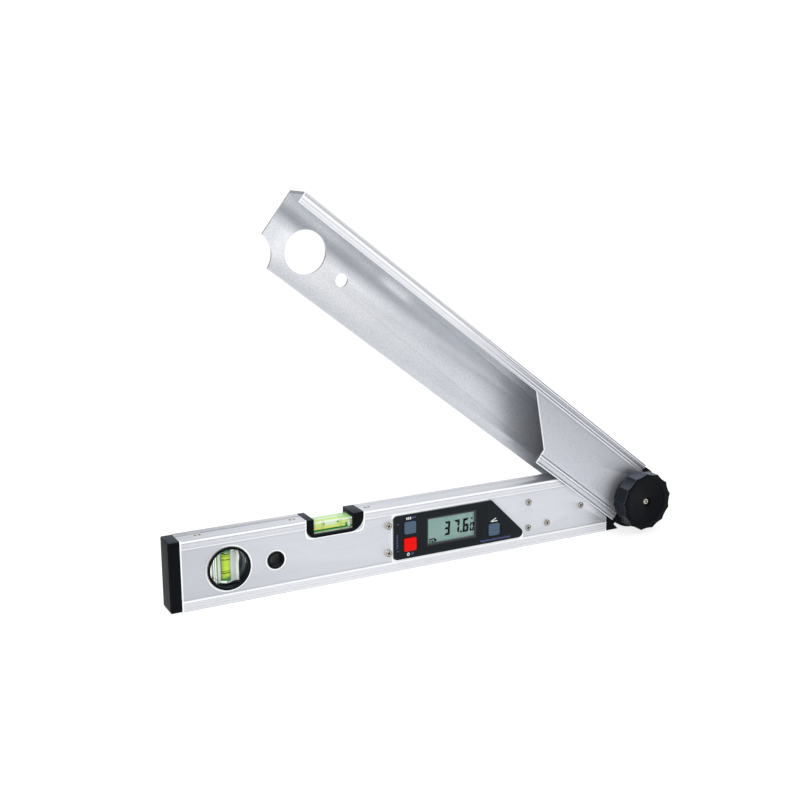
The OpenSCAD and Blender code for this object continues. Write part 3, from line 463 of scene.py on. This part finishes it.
def arm_marks(look, paint):
    height, reach, y = look.along(ARM_UP, PIVOT), look.along(ARM_OUT, PIVOT), look.along(Y_AXIS)
    front = look.remap(y, 1.0, 0.0, *PLATE_Y)
    inside = look.times(look.remap(y, 0.0, 1.0, *INSIDE_Y), look.facing(-Y_AXIS, 0.5, 0.8))
    paint = arm_inside_marks(look, paint, inside, reach, height)
    # The front plate has painted shade that deepens slightly towards the lip, and is speckled like the inner
    # face.
    plate_shade_tones = [(0.0, grey(0.555)), (0.5, grey(0.485)), (1.0, grey(0.41))]
    plain = look.ramp(look.remap(height, 0.0, 1.0, -PLATE_HEIGHT, PLATE_HEIGHT), plate_shade_tones)
    paint = look.mix(look.times(front, 0.9), paint, plain)
    speck = look.remap(look.noise(SPECK_SCALE), 0.86, 1.12)
    paint = look.mix(look.most(front, inside), paint, look.mix(1.0, paint, speck, "MULTIPLY"))
    # The outer face and the back catch less light.
    paint = look.mix(look.times(look.facing(ARM_UP, 0.7, 0.95), 0.8), paint, SHADE_DARK)
    darker = look.mix(1.0, look.mix(0.5, paint, SHADE_DARK), speck, "MULTIPLY")
    paint = look.mix(look.facing(Y_AXIS), paint, darker)
    # Painted light and shade in bands across the lip and the low rib.
    far = look.remap(reach, 0.0, 1.0, *LIP_REACH)
    for middle, half, near_tone, far_tone in LIP_LIGHT_AND_SHADE:
        strip = look.times(front, look.band(height, middle, half, 0.3))
        paint = look.mix(strip, paint, look.mix(far, grey(near_tone), pale(far_tone)))
    for middle, half, level in RIB_LIGHT_AND_SHADE:
        paint = look.mix(look.times(front, look.band(height, middle, half, 0.3)), paint, grey(level))
    # The knob's painted shadow darkens the plate round it, and the plate's slanting end has a painted
    # highlight.
    near = look.remap(look.reach_from(PIVOT), 0.75, 0.0, KNOB_R, KNOB_R + KNOB_SHADOW)
    paint = look.mix(look.times(front, near, near, 1.15), paint, (0.07, 0.07, 0.08, 1))
    return look.mix(look.times(front, look.facing(-X_AXIS, 0.4, 0.7)), paint, PAINTED_LIGHT_BRIGHT)


def arm_end_shade(look, paint):
    """Painted shade: the cut ends that look out along the arm are darker than its faces."""
    behind = look.remap(look.along(Y_AXIS), 0.0, 1.0, *BEHIND_PLATE_Y)
    return look.mix(look.times(behind, look.facing(ARM_OUT, 0.6, 0.85), 0.9), paint, tone(SHADE_DARK, 0.45))


def arm_metal(look, metal):
    """The front plate is matt, the rest keeps its sheen."""
    return look.remap(look.along(Y_AXIS), 0.15, metal, *PLATE_Y)


# Round vial's well: radius, depth of its green shine, and depth and height of its white glint.
WELL_R, WELL_SHINE_Y, WELL_GLINT = RING_R - 1.6, -1.0, (-4.6, RING_MID.z + 2.2)


def black_marks(look, paint):
    """Painted light on black: faces that look up get a bluish sheen, and the round vial's well a dark green
    reflection and a white glint.
    """
    paint = look.mix(look.facing(Z_AXIS, 0.5, 0.9), paint, BLACK_TOP_SHEEN)
    well = look.times(look.remap(look.reach_from(RING_MID), 1.0, 0.0, WELL_R, WELL_R + 0.4),
                      look.facing(-X_AXIS, 0.1, 0.4))
    y, z = look.along(Y_AXIS), look.along(Z_AXIS)
    paint = look.mix(well, paint, (0.004, 0.007, 0.009, 1))
    shine = look.times(well, look.band(y, WELL_SHINE_Y, 1.6, 1.6),
                       look.remap(z, 0.2, 1.0, RING_MID.z - 9, RING_MID.z))
    paint = look.mix(shine, paint, (0.075, 0.15, 0.14, 1))
    glint = look.remap(look.oval(y, z, WELL_GLINT, 0.6, 2.4), 1.0, 0.0, 0.7, 1.1)
    return look.mix(look.times(well, glint), paint, (0.8, 0.83, 0.85, 1))


def bezel_marks(look, paint):
    """Painted light: the sloping sides of the window are lighter than the face, and faces that look up get
    the bluish sheen.
    """
    slope = look.times(look.facing(-Y_AXIS, 0.2, 0.4), look.facing(Y_AXIS, -0.97, -0.9))
    paint = look.mix(look.facing(Z_AXIS, 0.5, 0.9), paint, BLACK_TOP_SHEEN)
    return look.mix(slope, paint, (0.058, 0.052, 0.066, 1))


def grip_marks(look, paint):
    """The knob's rim catches more light than its face, most of all on top and along its ridges."""
    aside = look.calc("SUBTRACT", 1.0, look.facing(-Y_AXIS))
    rim = look.mix(look.facing(Z_AXIS, 0.55, 0.98), (0.012, 0.015, 0.021, 1), (0.085, 0.092, 0.120, 1))
    rim = look.mix(look.edge_mask(0.7), rim, (0.24, 0.26, 0.30, 1))
    outer = look.remap(look.reach_from(PIVOT), 0.0, 1.0, *KNOB_RIM)
    return look.mix(look.times(outer, aside), paint, rim)


def top_screw_marks(look, paint):
    """Painted shade in the hollows beside the middle of each screw head on the beam's top."""
    x, y = look.along(X_AXIS), look.along(Y_AXIS)
    for low, high in islands("top_screws"):
        middle, radius = (low + high) / 2, (high.x - low.x) / 2
        for side in (-0.62, 0.62):
            hollow = look.oval(x, y, (middle.x + side * radius, middle.y), 0.3 * radius, 0.55 * radius)
            paint = look.mix(look.remap(hollow, 1.0, 0.0, 0.8, 1.1), paint, (0.04, 0.035, 0.03, 1))
    return paint


# How much light a veiled place still lets through.
VEILED = 0.08


def veil(look, glass, mask, colour):
    """Paints over a clear material's colour and lets less light through."""
    paint, before = glass
    change = look.calc("SUBTRACT", VEILED, before)
    return look.mix(mask, paint, colour), look.calc("MULTIPLY_ADD", mask, change, before)


# Reflections that colour the level vial. On its top: distance behind the block's front, half width, colour
# and strength.
LEVEL_TOP = [(0.7, 0.7, (0.80, 0.84, 0.80, 1), 0.95), (3.6, 2.0, (0.53, 0.74, 0.24, 1), 0.85),
             (6.5, 0.8, (0.60, 0.78, 0.42, 1), 0.9), (8.4, 0.9, (0.74, 0.78, 0.77, 1), 0.95),
             (11.4, 1.9, (0.42, 0.74, 0.26, 1), 0.9)]
# On its front: depth below the block's top, half width, colour and strength.
LEVEL_FRONT = [(0.6, 0.5, (0.80, 0.86, 0.78, 1), 0.9), (3.8, 2.5, (0.60, 0.72, 0.12, 1), 0.6),
               (5.5, 0.5, (0.78, 0.74, 0.12, 1), 0.75), (7.0, 0.7, (0.0, 0.20, 0.035, 1), 1.0),
               (8.0, 0.25, (0.50, 0.70, 0.40, 1), 0.9), (8.4, 0.15, (0.20, 0.15, 0.08, 1), 0.8),
               (8.9, 0.35, (0.82, 0.92, 0.74, 1), 0.95)]
# Its reading lines, from the block's middle.
LEVEL_RINGS = (-9.3, -7.7, 6.2, 7.8)
# The stretch over which its top darkens to the plug, and the one where its front's ovals begin.
PLUG_X, OVALS_Z = (LEVEL_MID_X + 5.6, LEVEL_MID_X + 14.6), (LEVEL_HIGH.z - 1.2, LEVEL_HIGH.z - 1.0)
# The bubble, its dark ends and the plug: distance from the middle, depth below the top, half width, half
# height and colour.
LEVEL_OVALS = [(-1.5, 1.6, 6.3, 2.2, (0.60, 0.70, 0.58, 1)), (-7.7, 2.1, 0.8, 0.7, (0.0, 0.17, 0.04, 1)),
               (4.4, 1.9, 1.0, 0.7, (0.0, 0.17, 0.04, 1)), (11.7, 5.3, 1.0, 1.6, (0.0, 0.25, 0.05, 1)),
               (14.3, 4.7, 1.9, 3.9, (0.03, 0.16, 0.06, 1)), (14.1, 4.6, 1.4, 3.3, (0.76, 0.76, 0.62, 1))]
# Upright reflections on the round vial's front: distance from the ring's middle, half width, colour and
# strength.
ROUND_FRONT = [(-8.4, 0.6, (0.10, 0.30, 0.10, 1), 0.9), (-6.6, 0.9, (0.64, 0.68, 0.68, 1), 0.85),
               (3.1, 0.6, (0.62, 0.62, 0.70, 1), 0.8), (5.2, 1.4, (0.50, 0.54, 0.54, 1), 0.85),
               (8.1, 0.7, (0.92, 0.93, 0.93, 1), 0.8)]
# On its side: depth, half width, softness, colour and strength.
ROUND_SIDE = [(-2.4, 0.5, 0.8, (0.16, 0.26, 0.18, 1), 0.8), (3.2, 2.0, 0.6, (0.82, 0.84, 0.82, 1), 0.7)]
# Heights of its reading rings and of its bubble above the ring's middle, and of the liquid's dark foot, which
# rises to the right.
ROUND_RINGS, ROUND_BUBBLE_Z = (8.0, -3.9), 11.3
ROUND_FOOT, FOOT_RISE = (-9.675, -7.675), 0.25


def level_block_marks(look, glass):
    x, y, z = look.axes()
    top, front = look.facing(Z_AXIS), look.facing(-Y_AXIS)
    for behind, half, colour, strength in LEVEL_TOP:
        strip = look.times(top, look.band(y, LEVEL_LOW.y + behind, half, 0.4), strength)
        glass = veil(look, glass, strip, colour)
    plug_end = look.times(top, look.remap(x, 0.0, 0.6, *PLUG_X))
    glass = veil(look, glass, plug_end, (0.12, 0.42, 0.10, 1))
    for below, half, colour, strength in LEVEL_FRONT:
        strip = look.times(front, look.band(z, LEVEL_HIGH.z - below, half, 0.2), strength)
        glass = veil(look, glass, strip, colour)
    for aside in LEVEL_RINGS:
        line = look.times(front, look.band(x, LEVEL_MID_X + aside, 0.18, 0.2), 0.6)
        glass = veil(look, glass, line, (0.12, 0.22, 0.04, 1))
    low_front = look.times(front, look.remap(z, 1.0, 0.0, *OVALS_Z))
    for aside, below, half_x, half_z, colour in LEVEL_OVALS:
        spot = look.oval(x, z, (LEVEL_MID_X + aside, LEVEL_HIGH.z - below), half_x, half_z)
        glass = veil(look, glass, look.times(low_front, look.remap(spot, 1.0, 0.0, 0.9, 1.05), 0.95), colour)
    return glass


def round_block_marks(look, glass):
    x, y = look.along(X_AXIS), look.along(Y_AXIS)
    front, side = look.facing(-Y_AXIS), look.facing(-X_AXIS)
    for aside, half, colour, strength in ROUND_FRONT:
        strip = look.times(front, look.band(x, RING_MID.x + aside, half, 0.25), strength)
        glass = veil(look, glass, strip, colour)
    for depth, half, soft, colour, strength in ROUND_SIDE:
        strip = look.times(side, look.band(y, depth, half, soft), strength)
        glass = veil(look, glass, strip, colour)
    return glass


def round_liquid_marks(look, glass):
    x, z = look.along(X_AXIS, RING_MID), look.along(Z_AXIS, RING_MID)
    for height in ROUND_RINGS:
        glass = veil(look, glass, look.times(look.band(z, height, 0.22, 0.3), 0.7), (0.05, 0.14, 0.02, 1))
    foot = look.remap(look.calc("ADD", z, look.times(x, -FOOT_RISE)), 1.0, 0.0, *ROUND_FOOT)
    glass = veil(look, glass, look.times(foot, 0.9), (0.0, 0.30, 0.06, 1))
    bubble = look.oval(x, z, (0, ROUND_BUBBLE_Z), 4.2, 2.2)
    glass = veil(look, glass, look.remap(bubble, 1.0, 0.0, 0.95, 1.1), (0.0, 0.15, 0.04, 1))
    return veil(look, glass, look.remap(bubble, 1.0, 0.0, 0.5, 0.65), (0.78, 0.80, 0.62, 1))


SLOT_LOOK = {
    "beam_aluminium": surface("beam_aluminium_look", (0.64, 0.655, 0.705), 0.36, 0.7, 1500, (0.03, 1, 1),
                              vary=0.05, bump=0.07, wear=0.6, wear_gap=0.7, marks=beam_marks),
    "arm_aluminium": surface("arm_aluminium_look", (0.67, 0.69, 0.735), 0.36, 0.75, 900, (0.8, 1, 1),
                             turn=-REST, vary=0.13, rough_vary=0.1, bump=0.16, wear=0.6, wear_gap=0.7,
                             marks=arm_marks, metal_map=arm_metal, trim=arm_end_shade),
    "black_plastic": surface("black_plastic_look", (0.0045, 0.005, 0.0062), 0.42, 0, 1800, vary=0.2, bump=0.2,
                             wear=0.4, wear_colour=BLACK_WEAR, specular=0.2, tint=COOL_GLOSS, ior=1.22,
                             marks=black_marks),
    "black_gloss": surface("black_gloss_look", (0.012, 0.012, 0.013), 0.2, vary=0.1, bump=0.03, specular=0.3),
    "grey_rubber": surface("grey_rubber_look", (0.070, 0.112, 0.168), 0.5, 0, 2200, vary=0.08, bump=0.16,
                           specular=0.16, wear=0.4, wear_colour=(0.19, 0.25, 0.33, 1)),
    "red_rubber": surface("red_rubber_look", (0.80, 0.004, 0.003), 0.5, 0, 2200, bump=0.16, specular=0.07,
                          wear=0.4, wear_colour=(0.95, 0.08, 0.06, 1)),
    "steel": surface("steel_look", (0.36, 0.345, 0.32), 0.26, 1, 1600, (1, 0.3, 1), vary=0.12, bump=0.1,
                     wear=0.3, wear_colour=(0.95, 0.94, 0.92, 1)),
    "brass": surface("brass_look", (0.72, 0.5, 0.2), 0.3, 1, 1400, (1, 0.3, 1), vary=0.1),
    "green_plastic": surface("green_plastic_look", (0.01, 0.26, 0.09), 0.3, vary=0.1),
    "window": clear("window_look", (0.98, 0.99, 0.98), 1.15, 0.01),
    "lcd": surface("lcd_look", (0.31, 0.485, 0.445), 0.5, 0, 3200, vary=0.05, bump=0.02, specular=0.3),
    "board": surface("board_look", (0.03, 0.2, 0.08), 0.35, 0, 500, vary=0.25, coat=0.4),
    "copper_foil": surface("copper_foil_look", (0.7, 0.35, 0.12), 0.35, 0.6, 700, vary=0.1),
    "battery_skin": surface("battery_skin_look", (0.06, 0.14, 0.25), 0.35, 0.3, 700, vary=0.1, coat=0.5),
    "pink_rubber": surface("pink_rubber_look", (0.6, 0.35, 0.38), 0.6, 0, 1800, vary=0.1),
    "friction_material": surface("friction_look", (0.12, 0.09, 0.07), 0.75, 0, 1300, vary=0.3, bump=0.4),
}

# Nodes whose look differs from the rest of their slot.
NICKEL = surface("nickel_look", (0.80, 0.77, 0.69), 0.3, 1, 1600, (1, 0.3, 1), vary=0.15, bump=0.1, wear=0.3,
                 wear_colour=(0.2, 0.19, 0.17, 1))
NODE_LOOK = {
    "clamp_knob": surface("grip_look", (0.0014, 0.002, 0.003), 0.42, 0, 1800, vary=0.2, bump=0.2,
                          specular=0.08, tint=COOL_GLOSS, marks=grip_marks),
    "display_bezel": surface("bezel_look", (0.0085, 0.0112, 0.0135), 0.42, 0, 1800, vary=0.15, wear=0.3,
                             wear_colour=BLACK_WEAR, specular=0.12, tint=COOL_GLOSS, marks=bezel_marks),
    "level_vial_block": clear("level_block_look", (0.80, 0.97, 0.66), 1.12, edge=0.6,
                              marks=level_block_marks),
    "round_vial_block": clear("round_block_look", (0.90, 0.985, 0.86), 1.12, edge=0.6,
                              marks=round_block_marks),
    "level_vial_liquid": clear("level_liquid_look", (0.88, 0.90, 0.12), 1.2, 0.0, weight=0.25, painted_glow=0.15),
    "round_vial_liquid": clear("round_liquid_look", (0.78, 0.93, 0.11), 1.2, 0.0, weight=0.2, painted_glow=0.1,
                               marks=round_liquid_marks),
    "top_screws": surface("top_nickel_look", (0.72, 0.71, 0.68), 0.35, 0.8, 1600, (1, 0.3, 1), vary=0.15,
                          bump=0.1, wear=0.3, wear_colour=(0.25, 0.24, 0.22, 1), marks=top_screw_marks),
    "hub_screws": NICKEL,
    "tray_screws": NICKEL,
    "knob_screw": NICKEL,
}
INK = surface("lcd_ink_look", (0.0015, 0.003, 0.004), 0.5, 0, 2600, vary=0.2, bump=0.02, specular=0.05)
# Painted shade for the screws' cross recesses and rims.
SLOT_SHADE = surface("slot_look", (0.045, 0.037, 0.030), 0.5, 0.3, 2600, vary=0.2, bump=0.05, specular=0.2)
PRINT_WHITE = surface("print_white_look", (0.80, 0.80, 0.80), 0.5, 0, 2600, vary=0.05, bump=0.05,
                      specular=0.3)
PRINT_BLUE = surface("print_blue_look", (0.085, 0.10, 0.25), 0.5, 0, 2600, vary=0.08, bump=0.05,
                     specular=0.3)


def look_of(node):
    return NODE_LOOK[node] if node in NODE_LOOK else SLOT_LOOK[SLOT_OF[node]]


def put(obj, material, body):
    COLLECTION.objects.link(obj)
    obj.data.materials.clear()
    obj.data.materials.append(material)
    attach(obj, body)


def shade(obj):
    """Smooth shading that keeps sharp edges."""
    for face in obj.data.polygons:
        face.use_smooth = True
    bm = bmesh.new()
    bm.from_mesh(obj.data)
    for edge in bm.edges:
        edge.smooth = len(edge.link_faces) == 2 and edge.calc_face_angle(0) < math.radians(SHARP_ANGLE)
    bm.to_mesh(obj.data)
    bm.free()


def dress(node, width):
    """A copy of a CAD node in its place, cleaned and with rounded edges."""
    bm = bmesh.new()
    bm.from_mesh(frame["nodes"][node].data)
    bmesh.ops.remove_doubles(bm, verts=bm.verts, dist=MERGE_GAP * MM)
    bmesh.ops.dissolve_limit(bm, angle_limit=math.radians(FLAT_ANGLE), verts=bm.verts, edges=bm.edges)
    mesh = bpy.data.meshes.new(node + "_shape")
    bm.to_mesh(mesh)
    bm.free()
    obj = bpy.data.objects.new(node + "_dressed", mesh)
    put(obj, look_of(node), BODY_OF[node])
    rounding = obj.modifiers.new("Round", "BEVEL")
    rounding.width = width * MM
    rounding.segments = 2
    rounding.limit_method = "ANGLE"
    rounding.angle_limit = math.radians(ROUND_ANGLE)
    rounding.harden_normals = False
    rounding.miter_outer = "MITER_ARC"
    bpy.context.view_layer.objects.active = obj
    obj.select_set(True)
    bpy.ops.object.modifier_apply(modifier=rounding.name)
    obj.select_set(False)
    shade(obj)
    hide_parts(node)


for name, obj in frame["nodes"].items():
    obj.data.materials.clear()
    obj.data.materials.append(look_of(name))

# Edge radius of each dressed piece.
ROUNDED = {
    "base_beam": 0.3, "end_cap": 0.6, "top_screws": 0.08, "round_ring_front": 0.35, "round_ring_rear": 0.35,
    "hole_sleeve": 0.2, "level_frame": 0.45, "display_bezel": 0.25, "hold_button": 0.45,
    "power_button": 0.45, "mitre_button": 0.45, "tray_screws": 0.15, "battery_door": 0.15, "base_hub": 0.4,
    "hub_screws": 0.12, "arm_channel": 0.3, "arm_hub_front": 0.4, "arm_hub_rear": 0.5, "arm_rivets": 0.2,
    "arm_screws": 0.08, "pivot_shaft": 0.2, "shaft_screws": 0.1, "knob_washer": 0.2, "knob_screw": 0.15,
    "level_vial_block": 0.3, "round_vial_block": 0.3, "clamp_knob": 0.35,
}
for name, radius in ROUNDED.items():
    dress(name, radius)

# Prints are thin plates that face the front: how thick they are, and how far they stand off their face.
SHEET, STAND_OFF = 0.03, 0.005


def plate(bm, points, y):
    """Thin flat plate from points (x, z), its back at depth y."""
    front = [bm.verts.new((x * MM, (y - SHEET) * MM, z * MM)) for x, z in points]
    back = [bm.verts.new((x * MM, y * MM, z * MM)) for x, z in points]
    bm.faces.new(front)
    bm.faces.new(list(reversed(back)))
    for i in range(len(points)):
        j = (i + 1) % len(points)
        bm.faces.new((front[i], back[i], back[j], front[j]))


def block(bm, x0, x1, z0, z1, y):
    plate(bm, [(x0, z0), (x1, z0), (x1, z1), (x0, z1)], y)


def bar(bm, x0, z0, x1, z1, width, y):
    """Straight stroke between two points."""
    d = Vector((x1 - x0, z1 - z0)).normalized() * width / 2
    plate(bm, [(x0 - d.y, z0 + d.x), (x0 + d.y, z0 - d.x), (x1 + d.y, z1 - d.x), (x1 - d.y, z1 + d.x)], y)


def disc(bm, x, z, radius, y, inner=0.0, start=0.0, sweep=360.0, steps=24):
    """Round plate, ring or part of a ring."""
    def at(reach, i):
        angle = math.radians(start + sweep * i / steps)
        return (x + reach * math.cos(angle), z + reach * math.sin(angle))
    if not inner:
        plate(bm, [at(radius, i) for i in range(steps)], y)
        return
    for i in range(steps):
        plate(bm, [at(radius, i), at(radius, i + 1), at(inner, i + 1), at(inner, i)], y)


def prints(name, draw, material, body):
    bm = bmesh.new()
    draw(bm)
    bmesh.ops.recalc_face_normals(bm, faces=bm.faces)
    mesh = bpy.data.meshes.new(name + "_shape")
    bm.to_mesh(mesh)
    bm.free()
    put(bpy.data.objects.new(name, mesh), material, body)


# The reading on the display: seven-part figures, a point, a degree ring and a cell sign, all placed from one
# point under the surround.
PARTS = {"3": "abcdg", "7": "abc", "6": "acdefg", "0": "abcdef"}
LEAN = 0.05
LCD_Y = LCD_LOW.y - STAND_OFF
READ_X, READ_Z = BEZEL_LOW.x + 18.7, BEZEL_LOW.z - 9.6
DIGIT_Z, DIGIT_H, DIGIT_STROKE = READ_Z + 22.7, 12.1, 2.4
# Figure, left side, width, height and stroke of each digit; the last one is small.
DIGITS = [("3", 29.4, 5.5, DIGIT_H, DIGIT_STROKE), ("7", 38.5, 5.5, DIGIT_H, DIGIT_STROKE),
          ("6", 47.2, 5.8, DIGIT_H, DIGIT_STROKE), ("0", 54.3, 4.0, 7.4, 1.6)]
# Left, right, foot and top of each block of the cell sign.
CELL_BLOCKS = [(0, 5.8, 2.5, 3.6), (0, 1.1, 0, 2.5), (4.7, 5.8, 0, 2.5), (5.8, 6.7, 0.7, 2.7),
               (2.0, 3.9, 0, 1.6)]


def digit(bm, figure, x, z, w, h, t):
    """Seven-part figure of width w, height h and stroke t.

    g is the gap beside an upright bar, e what is cut off its points and v the height of a level bar.
    """
    g, e, v, mid = t * 0.12, 0.2, t * 0.85, h / 2
    bars = {
        "a": [(e, h), (w - e, h), (w - t * 0.7, h - v), (t * 0.7, h - v)],
        "b": [(w, mid + t * 0.25), (w - t * 0.4, mid + e), (w - t + g, mid + t * 0.45),
              (w - t + g, h - t * 0.8), (w, h - e)],
        "c": [(w, e), (w - t + g, t * 0.8), (w - t + g, mid - t * 0.45), (w - t * 0.4, mid - e),
              (w, mid - t * 0.25)],
        "d": [(t * 0.7, v), (w - t * 0.7, v), (w - e, 0), (e, 0)],
        "e": [(0, mid - t * 0.25), (t * 0.4, mid - e), (t - g, mid - t * 0.45), (t - g, t * 0.8), (0, e)],
        "f": [(0, h - e), (t - g, h - t * 0.8), (t - g, mid + t * 0.45), (t * 0.4, mid + e),
              (0, mid + t * 0.25)],
        "g": [(e, mid), (t * 0.5, mid + v / 2), (w - t * 0.5, mid + v / 2), (w - e, mid),
              (w - t * 0.5, mid - v / 2), (t * 0.5, mid - v / 2)],
    }
    for part in PARTS[figure]:
        plate(bm, [(x + px + pz * LEAN, z + pz) for px, pz in bars[part]], LCD_Y)


def figures(bm):
    for figure, x, width, height, stroke in DIGITS:
        digit(bm, figure, READ_X + x, DIGIT_Z, width, height, stroke)
    disc(bm, READ_X + 45.8, DIGIT_Z + 0.9, 1.0, LCD_Y)
    disc(bm, READ_X + 56.2, READ_Z + 33.9, 1.0, LCD_Y, inner=0.4)
    x, z = READ_X + 15.4, READ_Z + 18.5
    for x0, x1, z0, z1 in CELL_BLOCKS:
        block(bm, x + x0, x + x1, z + z0, z + z1, LCD_Y)


prints("lcd_figures", figures, INK, "beam")


def screw_slots(node, turn):
    """Draws painted shade on the head of each screw of a node, a dark cross and rim where its recess and edge
    would be shaded, turned by an angle in degrees.
    """
    def draw(bm):
        for low, high in islands(node):
            middle, y, radius = (low + high) / 2, low.y - STAND_OFF, (high.z - low.z) / 2
            for angle in (turn, turn + 90):
                dx = math.cos(math.radians(angle)) * radius * 0.62
                dz = math.sin(math.radians(angle)) * radius * 0.62
                bar(bm, middle.x - dx, middle.z - dz, middle.x + dx, middle.z + dz, radius * 0.24, y)
            disc(bm, middle.x, middle.z, radius * 0.98, y, radius * 0.8)
    return draw


for name, turn in (("hub_screws", 35), ("tray_screws", 50), ("knob_screw", 20)):
    prints(name + "_slots", screw_slots(name, turn), SLOT_SHADE, BODY_OF[name])

# Plain printed signs beside the keys: bars, a power sign, an angle sign, a bracket and short scales.
FACE_Y = BEZEL_LOW.y - STAND_OFF
KEY_X = (HOLD_LOW.x + HOLD_HIGH.x) / 2
MITRE_X = (MITRE_LOW.x + MITRE_HIGH.x) / 2


def white_signs(bm):
    for i in range(3):
        x = KEY_X - 3.4 + i * 1.7
        block(bm, x, x + 1.0, HOLD_HIGH.z + 0.8, HOLD_HIGH.z + 2.9, FACE_Y)
    disc(bm, KEY_X - 1.6, POWER_LOW.z - 2.1, 1.35, FACE_Y, 0.75, 125, 290)
    block(bm, KEY_X - 1.95, KEY_X - 1.25, POWER_LOW.z - 1.9, POWER_LOW.z - 0.4, FACE_Y)
    x, z = MITRE_X - 3.4, MITRE_HIGH.z + 1.0
    bar(bm, x, z, MITRE_X + 3.4, z, 0.8, FACE_Y)
    bar(bm, x, z, MITRE_X + 2.0, z + 2.6, 0.8, FACE_Y)
    disc(bm, x, z, 3.9, FACE_Y, 3.2, 0, 26)


def blue_signs(bm):
    for i in range(3):
        x, z = KEY_X + 1.9 + i * 1.2, HOLD_HIGH.z + 1.0 + i * 0.2
        block(bm, x, x + 0.7, z, z + 1.6, FACE_Y)
    disc(bm, KEY_X + 2.2, POWER_LOW.z - 1.9, 1.1, FACE_Y, 0.5)
    x = BEZEL_LOW.x + 2.6
    for z in (POWER_LOW.z + 1.6, HOLD_HIGH.z - 2.2):
        block(bm, x, x + 1.9, z, z + 0.6, FACE_Y)
    for i in range(9):
        z = POWER_LOW.z + 4.4 + i * 1.35
        block(bm, x - 0.3, x + 1.1, z, z + 0.7, FACE_Y)
    for i in range(25):
        x, long_mark = MITRE_X - 13 + i * 1.2, i % 5 == 0
        block(bm, x, x + 0.6, BEZEL_LOW.z + 1.9, BEZEL_LOW.z + (4.0 if long_mark else 3.4), FACE_Y)


prints("white_signs", white_signs, PRINT_WHITE, "beam")
prints("blue_signs", blue_signs, PRINT_BLUE, "beam")

# Studio, in metres: a floor that curves up into a back wall, two soft lights, a pale world and the camera.
FLOOR_X = (-4.5, -2.0, 0.0, 2.0, 4.5)
FLOOR_Y = (-3.4, -1.5, 0.0, 1.8)
CURVE_R, CURVE_STEPS, WALL_TOP = 0.9, 14, 2.6


def build_floor():
    angles = [math.pi / 2 * i / CURVE_STEPS for i in range(1, CURVE_STEPS + 1)]
    profile = [(y, 0.0) for y in FLOOR_Y]
    profile += [(FLOOR_Y[-1] + CURVE_R * math.sin(a), CURVE_R - CURVE_R * math.cos(a)) for a in angles]
    profile.append((FLOOR_Y[-1] + CURVE_R, WALL_TOP))
    bm = bmesh.new()
    rows = [[bm.verts.new((x, y, z)) for x in FLOOR_X] for y, z in profile]
    for a, b in zip(rows, rows[1:]):
        for i in range(len(FLOOR_X) - 1):
            bm.faces.new((a[i], a[i + 1], b[i + 1], b[i]))
    mesh = bpy.data.meshes.new("floor_shape")
    bm.to_mesh(mesh)
    bm.free()
    for face in mesh.polygons:
        face.use_smooth = True
    floor = bpy.data.objects.new("floor", mesh)
    COLLECTION.objects.link(floor)
    look = Look("floor_look")
    pale_greys = [(0.3, (0.30, 0.30, 0.302, 1)), (0.7, (0.31, 0.31, 0.312, 1))]
    look.feed(look.shader["Base Color"], look.ramp(look.noise(3.0), pale_greys))
    look.shader["Roughness"].default_value = 0.75
    look.shader["Specular IOR Level"].default_value = 0.2
    look.shader["Emission Color"].default_value = (1, 1, 1, 1)
    look.shader["Emission Strength"].default_value = 0.78
    floor.data.materials.append(look.material)


def soft_light(name, place, target, size, power):
    light = bpy.data.lights.new(name, "AREA")
    light.shape = "RECTANGLE"
    light.size, light.size_y = size
    light.energy = power
    obj = bpy.data.objects.new(name, light)
    COLLECTION.objects.link(obj)
    obj.location = place
    obj.rotation_euler = (Vector(target) - Vector(place)).to_track_quat("-Z", "Y").to_euler()


build_floor()
soft_light("key", (-1.1, -1.2, 1.3), (0, 0, 0.1), (1.2, 1.0), 9)
soft_light("top", (0.2, 0.2, 1.9), (0, 0, 0), (2.0, 1.6), 10)

world = bpy.data.worlds.new("studio")
bpy.context.scene.world = world
world.use_nodes = True
world.node_tree.nodes["Background"].inputs["Color"].default_value = (1, 1, 1, 1)
world.node_tree.nodes["Background"].inputs["Strength"].default_value = 0.85

# The photograph's view: where the camera stands, and which ways are right and up in its picture.
CAMERA_AT = Vector((-0.43853, -0.82078, 0.35244))
RIGHT = Vector((0.88478216, -0.46599326, -0.00328703))
UP = Vector((0.10647629, 0.19528961, 0.9749486))
BACK = RIGHT.cross(UP)
camera_data = bpy.data.cameras.new("photo_view")
camera_data.sensor_width = 36
camera_data.lens = 53.266
camera = bpy.data.objects.new("photo_view", camera_data)
COLLECTION.objects.link(camera)
camera.matrix_world = Matrix([(RIGHT[i], UP[i], BACK[i], CAMERA_AT[i]) for i in range(3)] + [(0, 0, 0, 1)])
bpy.context.scene.camera = camera
bpy.context.scene.view_settings.view_transform = "Standard"
